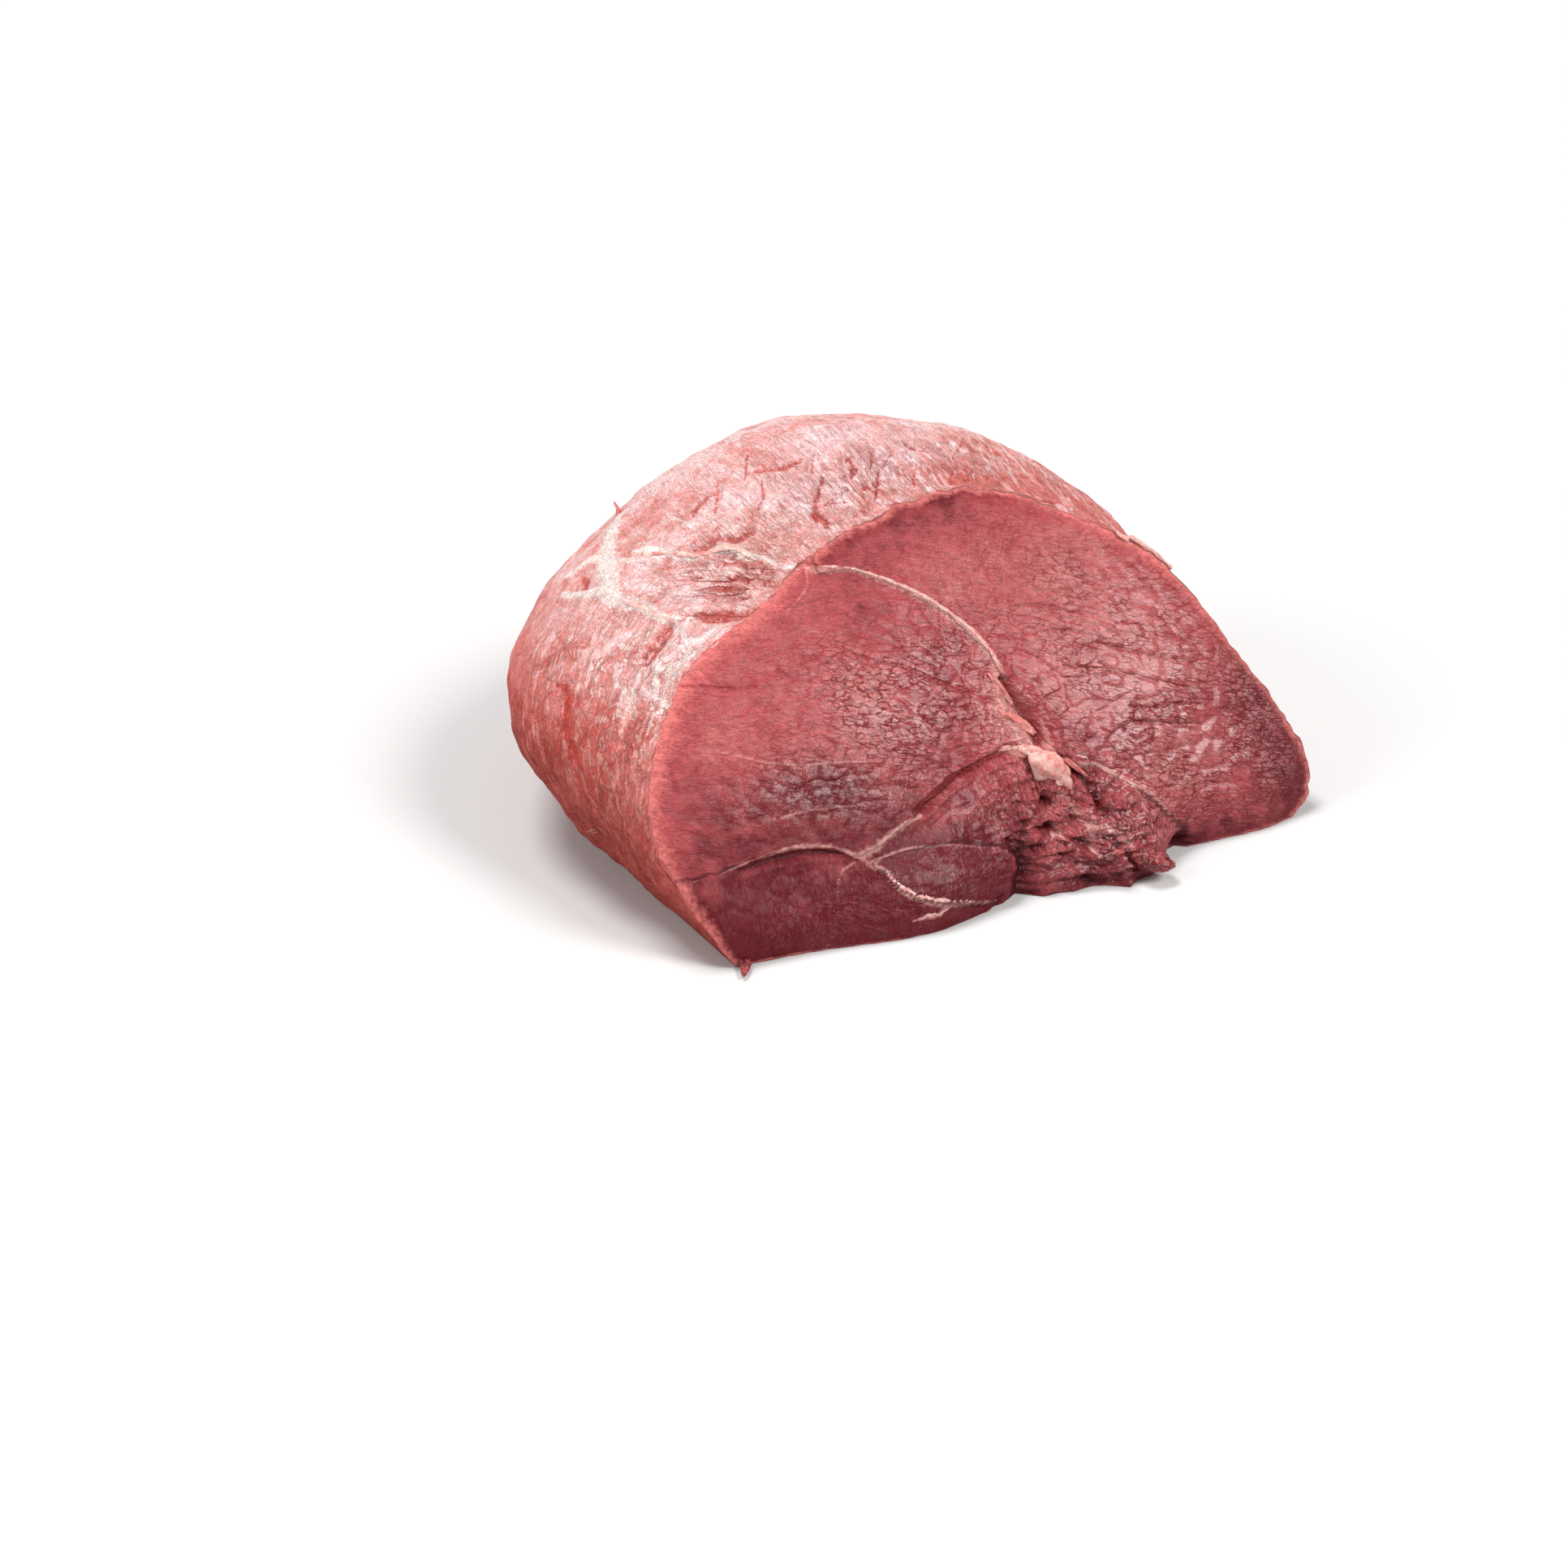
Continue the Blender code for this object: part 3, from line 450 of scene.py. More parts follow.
def skinPlace(angle, depth):
    # the place on the bare outer surface at an angle in degrees and a depth behind the foot
    rim = evenly(spline(jointForm["rim"], 20), 600)
    out = rim - np.array(jointForm["cutCentre"])
    angles = np.unwrap(np.arctan2(out[:, 1], out[:, 0]))
    wanted = radians(angle)
    wanted += 2 * pi * np.round((angles.mean() - wanted) / (2 * pi))
    edge = np.array([np.interp(wanted, angles[::-1], rim[::-1, k]) for k in (0, 1)])
    rimDepth = cutDepth(edge[0], edge[1])
    return skinPoints(edge, (depth - rimDepth) / (jointForm["bodyDepth"] - rimDepth))


def normalsOf(grid):
    # the cross product of the way round a ring and the way along the body, at unit length
    normal = np.cross(np.roll(grid, -1, axis=1) - np.roll(grid, 1, axis=1), np.gradient(grid, axis=0))
    return normal / np.maximum(np.linalg.norm(normal, axis=-1, keepdims=True), 1e-9)


def skinGaps(places):
    # the nearest line of each look on the outer surface, in half widths, and the relief of all of them
    gaps = {look: np.full(places.shape[:-1], farGap) for look in ("fat", "tear", "crack", "web", "ridge")}
    rise = np.zeros(places.shape[:-1])
    for look, height, points in skinLines:
        line = spline([(*skinPlace(angle, depth), half) for angle, depth, half in points], 6)
        gap = lineGap(places, line[:, :3], line[:, 3])
        gaps[look] = np.minimum(gaps[look], gap)
        rise += height * hump(gap, 1.2)
    return gaps, rise


def angleHump(angle, depth, zone):
    # an oval hump on the outer surface: the angle and the depth, each over its half size, squared and added
    atAngle, atDepth, halfAngle, halfDepth, strength = zone
    turn = (angle - atAngle + 180) % 360 - 180
    return strength * np.exp(-(turn / halfAngle) ** 2 - ((depth - atDepth) / halfDepth) ** 2)


def inside(x, z, corners):
    # even-odd rule: a place is inside where a line from it to the right crosses the outline oddly often
    odd = np.zeros(x.shape, bool)
    for (ax, az), (bx, bz) in zip(corners, corners[1:] + corners[:1]):
        if az != bz:
            odd ^= ((az > z) != (bz > z)) & (x < ax + (z - az) / (bz - az) * (bx - ax))
    return odd


def grainPlaces(x, z):
    # running lengths along and across the grain: x and the height up the slope, turned by each muscle's
    # own angle
    up = z / cos(jointForm["cutLean"])
    along, across = x * 1.0, up * 1.0
    for shift, (turn, corners) in enumerate(cutGrain):
        here = inside(x, z, corners)
        c, s = cos(radians(turn)), sin(radians(turn))
        along = np.where(here, x * c + up * s + 300.0 * (shift + 1), along)
        across = np.where(here, up * c - x * s, across)
    return along, across


def ringFaces(rings, columns, turned=False):
    # four-sided faces from ring to ring, and a fan to each of the last two points, which close the ends
    here = np.arange(columns)
    after = (here + 1) % columns
    row = (np.arange(rings - 1) * columns)[:, None]
    quads = np.stack([row + here, row + here + columns, row + after + columns, row + after], -1)
    quads = quads.reshape(-1, 4)
    start, end, last = rings * columns, rings * columns + 1, (rings - 1) * columns
    fans = np.vstack([np.stack([np.full(columns, start), here, after], -1),
                      np.stack([np.full(columns, end), last + after, last + here], -1)])
    if turned:
        quads, fans = quads[:, [0, 3, 2, 1]], fans[:, [0, 2, 1]]
    return quads.tolist() + fans.tolist()


def makeMesh(name, points, faces):
    mesh = bpy.data.meshes.new(name)
    mesh.from_pydata(((np.asarray(points) - chartMiddle) * mm).tolist(), [], faces)
    mesh.update()
    mesh.shade_smooth()
    piece = bpy.data.objects.new(name, mesh)
    bpy.context.scene.collection.objects.link(piece)
    return piece


def setAttribute(mesh, name, values):
    layer = mesh.attributes.new(name, "FLOAT", "POINT")
    layer.data.foreach_set("value", np.asarray(values, np.float32).ravel())


def cutSurface(rim):
    # rings of points from the middle of the cut to its edge: the leaning plane, less the relief, and at the
    # edge it rolls back by a hump of the distance to the edge
    form = jointForm
    centre = np.array(form["cutCentre"])
    share = (np.arange(1, form["cutRings"] + 1) / form["cutRings"])[:, None, None]
    flat = centre + share * (rim - centre)
    x, z = flat[..., 0], flat[..., 1]
    toRim = np.linalg.norm(onSlope(rim[:, 0], rim[:, 1])[None] - onSlope(x, z), axis=-1)
    roll, rollWidth = form["edgeRounding"]
    rolled = roll * hump(toRim, rollWidth) * smooth(rim[:, 1] / 10.0)
    points = np.stack([x, cutDepth(x, z) - cutRelief(x, z) + rolled, z], -1)
    return {"points": points, "x": x, "z": z, "toRim": toRim, "rolled": rolled[-1], "gaps": cutGaps(x, z)}


def outerSurface(rim, cut):
    # rings of points from the edge of the cut to the far end: the bare form, moved along its normals by the
    # rise of the lines, two sizes of waves and the folds, which are a sine across a hump
    form, folds, uneven = jointForm, skinFolds, skinUneven
    step = (np.arange(1, form["bodyRings"] + 1) / (form["bodyRings"] + 1)) ** form["ringCrowding"]
    share = np.sin(step * pi / 2)[:, None]
    bare = skinPoints(rim[None], share)
    depth = bare[..., 1]
    out = rim - np.array(form["cutCentre"])
    angle = np.degrees(np.arctan2(out[:, 1], out[:, 0]))[None] + 0 * share
    gaps, lineRise = skinGaps(bare)
    zone = (folds["angle"], folds["depth"], folds["halfAngle"], folds["halfDepth"], 1.0)
    folded = angleHump(angle, depth, zone)
    phase = 2 * pi * (folds["across"] * (angle - folds["angle"]) - folds["back"] * depth) / folds["spacing"]
    ripple = np.sin(phase + folds["stray"] * waves(bare, 16, 21))
    rise = (lineRise + uneven["rise"] * waves(bare, uneven["size"], 7)
            + uneven["fineRise"] * waves(bare, uneven["fineSize"], 8) + folds["rise"] * folded * ripple)
    points = bare.copy()
    points[..., 1] += (cut["rolled"] - cutRelief(rim[:, 0], rim[:, 1])) * (1 - share) ** 24
    edge = cut["points"][-1:]
    normals = normalsOf(np.concatenate([edge, points]))[1:]
    points = points + normals * rise[..., None] * smooth(points[..., 2:] / 5.0)
    along = np.cumsum(np.linalg.norm(np.diff(np.concatenate([edge, bare]), axis=0), axis=-1), axis=0)
    return {"points": points, "height": bare[..., 2], "depth": depth, "angle": angle, "along": along,
            "folded": folded, "gaps": gaps}


def setLooks(mesh, cut, skin):
    # what the materials read at each point: gaps to the nearest lines, zones and places for patterns
    x, z, angle, depth = cut["x"], cut["z"], skin["angle"], skin["depth"]
    onCut, onSkin, shades = np.zeros(x.shape), np.zeros(depth.shape), skinShades

    def whole(cutValues, skinValues):
        poles = [cutValues[0].mean(), skinValues[-1].mean()]
        return np.concatenate([cutValues.ravel(), skinValues.ravel(), poles])

    for label, cutLook, skinLook in (("fat", "fat", "fat"), ("red", "red", "tear"), ("dark", "dark", "crack"),
                                     ("web", "", "web"), ("ridge", "", "ridge"), ("thin", "thin", ""),
                                     ("crack", "crack", "")):
        gaps = cut["gaps"].get(cutLook, onCut + farGap), skin["gaps"].get(skinLook, onSkin + farGap)
        setAttribute(mesh, label + "Gap", whole(*gaps))
    edge = angle[:1]
    strength = sum((angleHump(edge, 0 * edge, (at, 0, half, 1, up)) for at, half, up in rimStrip), 0 * edge)
    cutGap = cut["toRim"] / np.clip(strength, 0.05, 2)
    setAttribute(mesh, "rimGap", whole(cutGap, 2.0 + 1.6 * skin["along"]))
    setAttribute(mesh, "fold", whole(onCut, 1.3 * skin["folded"]))
    setAttribute(mesh, "farEnd", whole(onCut, smooth((depth - shades["fadeFrom"]) / shades["fadeOver"])))
    for name in {**cutZones, **skinZones}:
        cutSide = sum((turnedHump(x, z, zone) for zone in cutZones.get(name, ())), onCut)
        skinSide = sum((angleHump(angle, depth, zone) for zone in skinZones.get(name, ())), onSkin)
        if name == "red":
            # low down the redness also stands for painted shade near the floor
            low = np.clip(1 - skin["height"] / shades["redShadeBelow"], 0, 1) ** shades["redShadePower"]
            back = smooth((depth - shades["redFrom"]) / shades["redOver"])
            skinSide = skinSide + shades["redShadeLow"] * low + shades["redBack"] * back
        setAttribute(mesh, name, whole(cutSide, skinSide))

    # pattern places: on the cut, by the grain; on the skin, back from the rim and round the girth
    flowU, flowV = grainPlaces(x, z)
    radius = jointForm["girthRadius"]
    girth = np.radians(angle) * radius
    girth = np.where(girth < -2.0 * radius, girth + 2 * pi * radius, girth)
    pattern = np.stack([whole(flowU, skin["along"]), whole(flowV, girth)], -1) * mm
    corners = np.empty(len(mesh.loops), np.int32)
    mesh.loops.foreach_get("vertex_index", corners)
    mesh.uv_layers.new(name="pattern").data.foreach_set("uv", pattern[corners].astype(np.float32).ravel())


def makeJoint(cutMaterial, skinMaterial):
    form = jointForm
    rim = rimOutline()
    cut = cutSurface(rim)
    skin = outerSurface(rim, cut)
    grid = np.concatenate([cut["points"], skin["points"]])
    grid[..., 2] = np.maximum(grid[..., 2], 0)
    x, z = form["cutCentre"]
    middle = np.array([x]), np.array([z])
    frontPole = [x, float((cutDepth(*middle) - cutRelief(*middle))[0]), z]
    backPole = [x + form["backEndShift"][0], form["bodyDepth"], z + form["backEndShift"][1]]
    points = np.vstack([grid.reshape(-1, 3), [frontPole, backPole]])
    rings, columns = grid.shape[:2]
    joint = makeMesh("joint_meat", points, ringFaces(rings, columns, turned=True))
    mesh = joint.data
    mesh.materials.append(cutMaterial)
    mesh.materials.append(skinMaterial)
    index = np.ones(len(mesh.polygons), np.int32)
    fan = (rings - 1) * columns
    index[:(form["cutRings"] - 1) * columns] = 0
    index[fan:fan + columns] = 0
    mesh.polygons.foreach_set("material_index", index)
    setLooks(mesh, cut, skin)
    print("joint:", len(mesh.vertices), "points,", len(mesh.polygons), "faces")
    normals = np.empty(len(mesh.vertices) * 3, np.float32)
    mesh.vertices.foreach_get("normal", normals)
    return joint, (points, normals.reshape(-1, 3))


# Small lumps: where, half sizes along, across and out, which way they point, how far they are sunk in (or
# stand proud, below 0) and how far they narrow towards the tip; a lying one follows the surface
lumpPieces = {
    "knob": {"at": (117.2, 30.6), "halfSize": (6.6, 5.6, 5.6), "along": (0.9, 0.1, -0.35), "sunk": 0.6,
            "narrowing": 0.15, "uneven": 0.27, "finish": "fat"},
    "knobLower": {"at": (119.6, 26.8), "halfSize": (3.4, 3.0, 2.8), "along": (0.6, 0.2, -0.7),
            "sunk": 0.5, "narrowing": 0.2, "uneven": 0.24, "finish": "fat"},
    "knobShoulder": {"at": (112.8, 34.4), "halfSize": (5.2, 2.8, 2.6), "along": (-0.8, 0.1, 0.5),
            "sunk": 0.2, "narrowing": 0.3, "uneven": 0.24, "finish": "fat"},
    "tissueUpper": {"at": (111.2, 50.0), "halfSize": (7.0, 1.6, 1.3), "along": (0.16, 0.0, -1.0),
            "sunk": -0.2, "lying": 1.0, "narrowing": 0.3, "uneven": 0.34, "finish": "membrane"},
    "tissueMiddle": {"at": (111.6, 42.0), "halfSize": (6.5, 2.2, 1.6), "along": (0.45, 0.0, -0.9),
            "sunk": -0.1, "lying": 1.0, "narrowing": 0.2, "uneven": 0.36, "finish": "membrane"},
    "tissueLower": {"at": (106.4, 37.6), "halfSize": (5.5, 1.4, 1.2), "along": (1.0, 0.0, -0.25),
            "sunk": -0.2, "lying": 1.0, "narrowing": 0.2, "uneven": 0.36, "finish": "membrane"},
    "tissueRight": {"at": (126.0, 30.5), "halfSize": (5.4, 1.1, 1.0), "along": (1.0, 0.0, -0.35),
            "sunk": -0.2, "lying": 1.0, "narrowing": 0.6, "uneven": 0.34, "finish": "membrane"},
    "cornerFlap": {"at": (2.4, 1.4), "halfSize": (6.4, 2.4, 1.6), "along": (-0.55, -0.85, 0.0),
            "sunk": -2.0, "narrowing": 0.7, "uneven": 0.2, "finish": "meat"},
    "tornLobe": {"at": (138.0, 4.4), "halfSize": (6.2, 4.6, 4.0), "along": (0.8, -0.4, -0.1),
            "sunk": -2.2, "narrowing": 0.15, "uneven": 0.26, "finish": "meat"},
    "tornFlake": {"at": (126.0, 9.0), "halfSize": (4.6, 2.4, 2.6), "along": (0.5, -0.6, 0.5),
            "sunk": -0.4, "narrowing": 0.5, "uneven": 0.3, "finish": "meat"},
    "tornFold": {"at": (131.0, 20.0), "halfSize": (6.0, 2.2, 2.0), "along": (0.3, -0.1, -0.9),
            "sunk": -0.4, "narrowing": 0.5, "uneven": 0.3, "finish": "meat"},
    "crestTag": {"onSkin": (147.5, 151.0), "halfSize": (5.4, 4.0, 2.6), "along": (-0.35, 0.15, 0.92),
            "sunk": 1.6, "narrowing": 0.8, "uneven": 0.3, "finish": "membrane"},
    "sideTag": {"onSkin": (-171.0, 59.0), "halfSize": (4.5, 2.0, 1.4), "along": (-0.75, -0.5, 0.3),
            "sunk": 1.0, "narrowing": 0.8, "uneven": 0.3, "finish": "membrane"},
    "rimFat": {"onSkin": (21.0, 60.0), "halfSize": (13.0, 3.4, 1.9), "along": (0.55, 0.1, -0.8),
            "sunk": 0.1, "lying": 1.0, "narrowing": 0.1, "uneven": 0.3, "finish": "fat"},
}


def onSurface(surface, places, near=6):
    # places moved onto the finished surface: its nearest points, the closer the heavier, and their normals
    points, normals = surface
    gap = np.stack([((points - place) ** 2).sum(-1) for place in places])
    nearest = np.argpartition(gap, near, axis=1)[:, :near]
    weight = 1.0 / (np.take_along_axis(gap, nearest, axis=1) + 0.04)
    weight /= weight.sum(axis=1, keepdims=True)
    normal = (normals[nearest] * weight[..., None]).sum(1)
    place = (points[nearest] * weight[..., None]).sum(1)
    return place, normal / np.linalg.norm(normal, axis=1, keepdims=True)


def makeLump(name, settings, surface, material):
    # a ball of two angles (cosine of one, its sine times cosine and sine of the other), drawn out by its
    # half sizes, narrower towards its tip, and uneven all over by waves
    rings, columns = 24, 36
    down = np.linspace(0, pi, rings + 1)[1:-1, None]
    around = (np.arange(columns) * 2 * pi / columns)[None]
    unit = np.stack([np.cos(down) + 0 * around, np.sin(down) * np.cos(around),
                     np.sin(down) * np.sin(around)], -1)
    unit = np.vstack([unit.reshape(-1, 3), [[1, 0, 0], [-1, 0, 0]]])
    bumps = waves(unit, 1.7, 4) + 0.5 * (waves(unit, 0.7, 9) + 0.5 * waves(unit, 0.36, 10))
    stretch = 1 + settings["uneven"] * bumps[:, None]
    width = 1 - settings["narrowing"] * (unit[:, :1] + 1) / 2
    local = unit * settings["halfSize"] * stretch * np.hstack([width ** 0, width, width])
    first = np.array(settings["along"], float)
    first /= np.linalg.norm(first)
    if "at" in settings:
        x, z = settings["at"]
        bare = [x, float(cutDepth(np.array(x), np.array(z))), z]
    else:
        bare = skinPlace(*settings["onSkin"])
    place, normal = onSurface(surface, np.array([bare]))
    centre = place[0] - normal[0] * settings["sunk"]
    first -= normal[0] * (first @ normal[0]) * settings.get("lying", 0.0)
    first /= np.linalg.norm(first)
    second = np.cross(first, normal[0]) if "lying" in settings else np.cross((0, 0, 1), first)
    second /= np.linalg.norm(second)
    third = np.cross(first, second)
    points = local @ np.stack([first, second, third]) + centre
    points[:, 2] = np.maximum(points[:, 2], 0)
    lump = makeMesh(name, points, ringFaces(rings - 1, columns))
    lump.data.materials.append(material)
    return lump


# Strands: how fast the ends taper, height to width and how far sunk in; then the path of each, as x, z and
# half width on the cut, or as angle, depth and half width on the outer surface
strandShape = {"taper": 6.0, "flat": 0.26, "sunk": 0.06}
strandPieces = {
    "mainSeam": ("cut", ((62, 90, 0.42), (69, 88.5, 0.51), (76, 87, 0.42), (83, 84, 0.51),
            (89, 81, 0.59), (96, 77, 0.59), (102, 72, 0.68), (108, 66, 0.77), (111, 61, 0.77),
            (112.5, 57, 0.68), (113, 52, 0.34))),
    "ovalEdge": ("cut", ((50, 19, 0.3), (52, 17, 0.5), (54.5, 13.5, 0.6), (59, 10.5, 0.7),
            (66, 8, 0.65), (74, 6, 0.5), (80, 4.4, 0.2))),
    "smallSeam": ("cut", ((57, 5, 0.3), (61, 5.5, 0.5), (65, 5, 0.5), (68, 7, 0.4), (70, 9, 0.3))),
    "rightSeam": ("cut", ((123, 33, 0.35), (127, 31.5, 0.42), (132, 30, 0.35), (137, 27, 0.35),
            (143, 23, 0.35), (149, 19, 0.28), (153, 13, 0.21))),
    "knobRoot": ("cut", ((101, 38.5, 0.24), (105, 38, 0.64), (109, 36.5, 0.96), (113, 35, 1.28),
            (117, 33, 1.28))),
    "knobSide": ("cut", ((113.5, 47, 0.15), (113.5, 43, 0.34), (112.5, 39.5, 0.43), (113.5, 36, 0.62),
            (116, 33.5, 0.67))),
    "upperSeam": ("skin", ((153, 114, 0.8), (149, 106, 0.8), (146, 104, 1.0), (143, 97, 0.9),
            (141, 94, 0.9), (137, 92, 1.2), (135, 89, 1.4), (134.5, 85, 1.1), (133, 79, 0.8),
            (131, 71, 0.6), (127, 66, 0.5))),
    "lowerSeam": ("skin", ((157, 98, 1.6), (156, 93, 1.4), (155, 86, 1.1), (155, 79, 0.9),
            (154, 74, 0.8), (151, 67, 0.5), (147, 62, 0.4), (143, 59, 0.3))),
    "webFirst": ("skin", ((154, 76, 0.4), (156, 69, 0.4), (159, 67, 0.4), (161, 65, 0.4),
            (162, 62, 0.4), (163, 59, 0.4), (165, 57, 0.3))),
    "webSecond": ("skin", ((152, 72, 0.3), (155, 68, 0.4), (157, 59, 0.35), (160, 58, 0.4),
            (162, 62, 0.4))),
    "webThird": ("skin", ((150, 63, 0.3), (153, 55, 0.35), (156, 57, 0.35), (159, 56, 0.4),
            (162, 56, 0.3))),
    "webFourth": ("skin", ((160, 55, 0.3), (164, 53, 0.4), (165, 50, 0.4), (167, 49, 0.35),
            (171, 45, 0.25))),
}


def makeStrand(name, settings, surface, material):
    # an oval carried along a path on the surface: centre + cos(turn) * half width across + sin(turn) * height
    # along the surface's normal; it starts and ends at nothing, and its width strays a little
    spots = settings["path"]
    if settings["on"] == "cut":
        bare = [(x, float(cutDepth(np.array(x), np.array(z))), z) for x, z, half in spots]
    else:
        bare = [skinPlace(angle, depth) for angle, depth, half in spots]
    line = spline([(*place, spot[2]) for place, spot in zip(bare, spots)], 12)
    centre, normal = onSurface(surface, line[:, :3])
    sides = 10
    run = np.linspace(0, 1, len(line))
    taper = np.sqrt(np.clip(np.minimum(run, 1 - run) * settings["taper"], 0, 1))
    along = np.gradient(centre, axis=0)
    along /= np.linalg.norm(along, axis=1, keepdims=True)
    across = np.cross(along, normal)
    across /= np.linalg.norm(across, axis=1, keepdims=True)
    stray = 1 + 0.25 * waves(centre, 7.0, 31) + 0.12 * waves(centre, 2.6, 32)
    half = (line[:, 3] * taper * stray)[:, None, None]
    turn = (np.arange(sides) * 2 * pi / sides)[None, :, None]
    ring = (centre[:, None] + across[:, None] * np.cos(turn) * half
            + normal[:, None] * (np.sin(turn) * half * settings["flat"] - settings["sunk"]))[1:-1]
    points = np.vstack([ring.reshape(-1, 3), centre[[0, -1]] - normal[[0, -1]] * 0.1])
    strand = makeMesh(name, points, ringFaces(len(ring), sides))
    strand.data.materials.append(material)
    return strand


meatColours = {   # linear
    "darkMeat": (0.125, 0.003, 0.009),
    "midMeat": (0.400, 0.040, 0.050),
    "lightMeat": (0.560, 0.120, 0.112),
    # pale meat: its own paler tone, and also painted sheen and painted highlight flecks on the cut
    "paleMeatAndSheen": (0.820, 0.370, 0.360),
    # glint: a painted highlight colour
    "glint": (0.860, 0.500, 0.500),
    "crackRed": (0.200, 0.006, 0.014),
    "redLine": (0.300, 0.020, 0.025),
    "rimRed": (0.800, 0.210, 0.190),
    # painted shade: near black for the inside of grooves and holes
    "holeAndGrooveShade": (0.075, 0.003, 0.007),
    "fat": (0.930, 0.490, 0.430),
    "creamFat": (0.930, 0.760, 0.710),
    "seamFat": (0.880, 0.430, 0.375),
    "skinPink": (0.900, 0.420, 0.395),
    "skinPale": (0.940, 0.590, 0.575),
    "skinRed": (0.700, 0.165, 0.125),
    "bloodWash": (0.740, 0.320, 0.290),   # multiplied over the outer surface, and the next two lower down, as redder meat and painted shade near the floor
    "lowRedShade": (0.720, 0.420, 0.390),
    "footShade": (0.700, 0.560, 0.540),
    "silver": (0.900, 0.640, 0.670),
    "tear": (0.520, 0.060, 0.045),
}

wetMeat = {
    "Subsurface Weight": 0.10, "Subsurface Radius": (1.0, 0.25, 0.15), "Subsurface Scale": 0.003,
    "Specular IOR Level": 0.3, "IOR": 1.38, "Coat Weight": 0.4, "Coat Roughness": 0.14, "Coat IOR": 1.4,
}

# Lines painted over each material: look, colour, share, how ragged and how soft their edges are
# on the cut, the dark grooves and holes are painted near black, as painted shade
cutPaint = (("red", "redLine", 0.75, 0.8, 0.7), ("crack", "crackRed", 0.45, 0.9, 0.6),
            ("dark", "holeAndGrooveShade", 0.8, 0.9, 0.7), ("thin", "fat", 0.30, 0.4, 0.6), ("fat", "fat", 0.45, 1.0, 0.8))
skinPaint = (("red", "tear", 0.8, 0.9, 0.6), ("dark", "tear", 0.8, 1.0, 0.7),
             ("ridge", "skinPale", 0.6, 0.6, 0.8), ("web", "creamFat", 0.8, 0.4, 0.7),
             ("fat", "creamFat", 0.95, 0.8, 0.45))
# Washes over the outer surface, redder meat and painted shade low down: colour, from which redness to which,
# and share
skinWashes = (("bloodWash", 0.1, 1.0, 0.85), ("lowRedShade", 0.8, 2.0, 0.9), ("footShade", 1.6, 2.8, 0.9))
bumpHeights = {"cut": 0.0005, "skin": 0.0008, "soft": 0.0006}   # metres
# Fat, seams and torn pieces: two tones and their threads, and how much light goes into them
softLooks = {
    "fat": ("softFat", ("fat", "rimRed", "creamFat"), 0.3),
    "seam": ("seamFat", ("seamFat", "rimRed", "creamFat"), 0.2),
    "meat": ("tornMeat", ("darkMeat", "midMeat", "fat"), 0.1),
    "membrane": ("tornMembrane", ("rimRed", "seamFat", "creamFat"), 0.1),
}


def feed(tree, socket, value):
    # a fixed value is set on the socket, and anything else is linked to it
    if isinstance(value, (int, float)):
        socket.default_value = value
    elif isinstance(value, tuple):
        socket.default_value = (*value, 1.0)[:len(socket.default_value)]
    else:
        tree.links.new(value, socket)


def newGroup(name, inputs, outputs):
    # an input's kind follows from its default: none or three numbers is a vector
    tree = bpy.data.node_groups.new(name, "ShaderNodeTree")
    for label, value in inputs:
        kind = "NodeSocketFloat" if isinstance(value, float) else "NodeSocketVector"
        socket = tree.interface.new_socket(label, in_out="INPUT", socket_type=kind)
        if value is not None:
            socket.default_value = value
    for label in outputs:
        tree.interface.new_socket(label, in_out="OUTPUT", socket_type="NodeSocketFloat")
    return tree, tree.nodes.new("NodeGroupInput"), tree.nodes.new("NodeGroupOutput")


def addMath(tree, operation, *values, clamp=False):
    node = tree.nodes.new("ShaderNodeMath")
    node.operation = operation
    node.use_clamp = clamp
    for socket, value in zip(node.inputs, values):
        feed(tree, socket, value)
    return node.outputs[0]


def product(tree, first, *others):
    for value in others:
        first = addMath(tree, "MULTIPLY", first, value)
    return first


def total(tree, first, *others):
    for value in others:
        first = addMath(tree, "ADD", first, value)
    return first


def addSum(tree, *products):
    return total(tree, *(product(tree, *values) for values in products))


def less(tree, first, second):
    return addMath(tree, "SUBTRACT", first, second)


def lifted(tree, value, factor, extra, clamp=False):
    # the value times a factor, plus an extra
    return addMath(tree, "MULTIPLY_ADD", value, factor, extra, clamp=clamp)


def addVector(tree, operation, first, second):
    node = tree.nodes.new("ShaderNodeVectorMath")
    node.operation = operation
    feed(tree, node.inputs[0], first)
    feed(tree, node.inputs["Scale" if operation == "SCALE" else 1], second)
    return node.outputs[0]


def addRange(tree, value, low, high, outLow=0.0, outHigh=1.0):
    # an even step of the value from low to high
    node = tree.nodes.new("ShaderNodeMapRange")
    node.interpolation_type = "SMOOTHSTEP"
    for socket, given in zip(node.inputs, (value, low, high, outLow, outHigh)):
        feed(tree, socket, given)
    return node.outputs[0]


def addMix(tree, share, first, second, blend="MIX"):
    node = tree.nodes.new("ShaderNodeMix")
    node.data_type = "RGBA"
    node.blend_type = blend
    for socket, given in zip((node.inputs[0], node.inputs[6], node.inputs[7]), (share, first, second)):
        feed(tree, socket, given)
    return node.outputs[2]


def paintOver(tree, base, label, *shares, blend="MIX"):
    # a colour laid over what is there, by the product of its shares
    return addMix(tree, product(tree, *shares), base, meatColours[label], blend)


def addNoise(tree, vector, scale, detail=2.0, distortion=0.0, roughness=0.5):
    node = tree.nodes.new("ShaderNodeTexNoise")
    settings = {"Vector": vector, "Scale": scale, "Detail": detail, "Distortion": distortion,
                "Roughness": roughness}
    for label, value in settings.items():
        feed(tree, node.inputs[label], value)
    return node.outputs["Fac"]


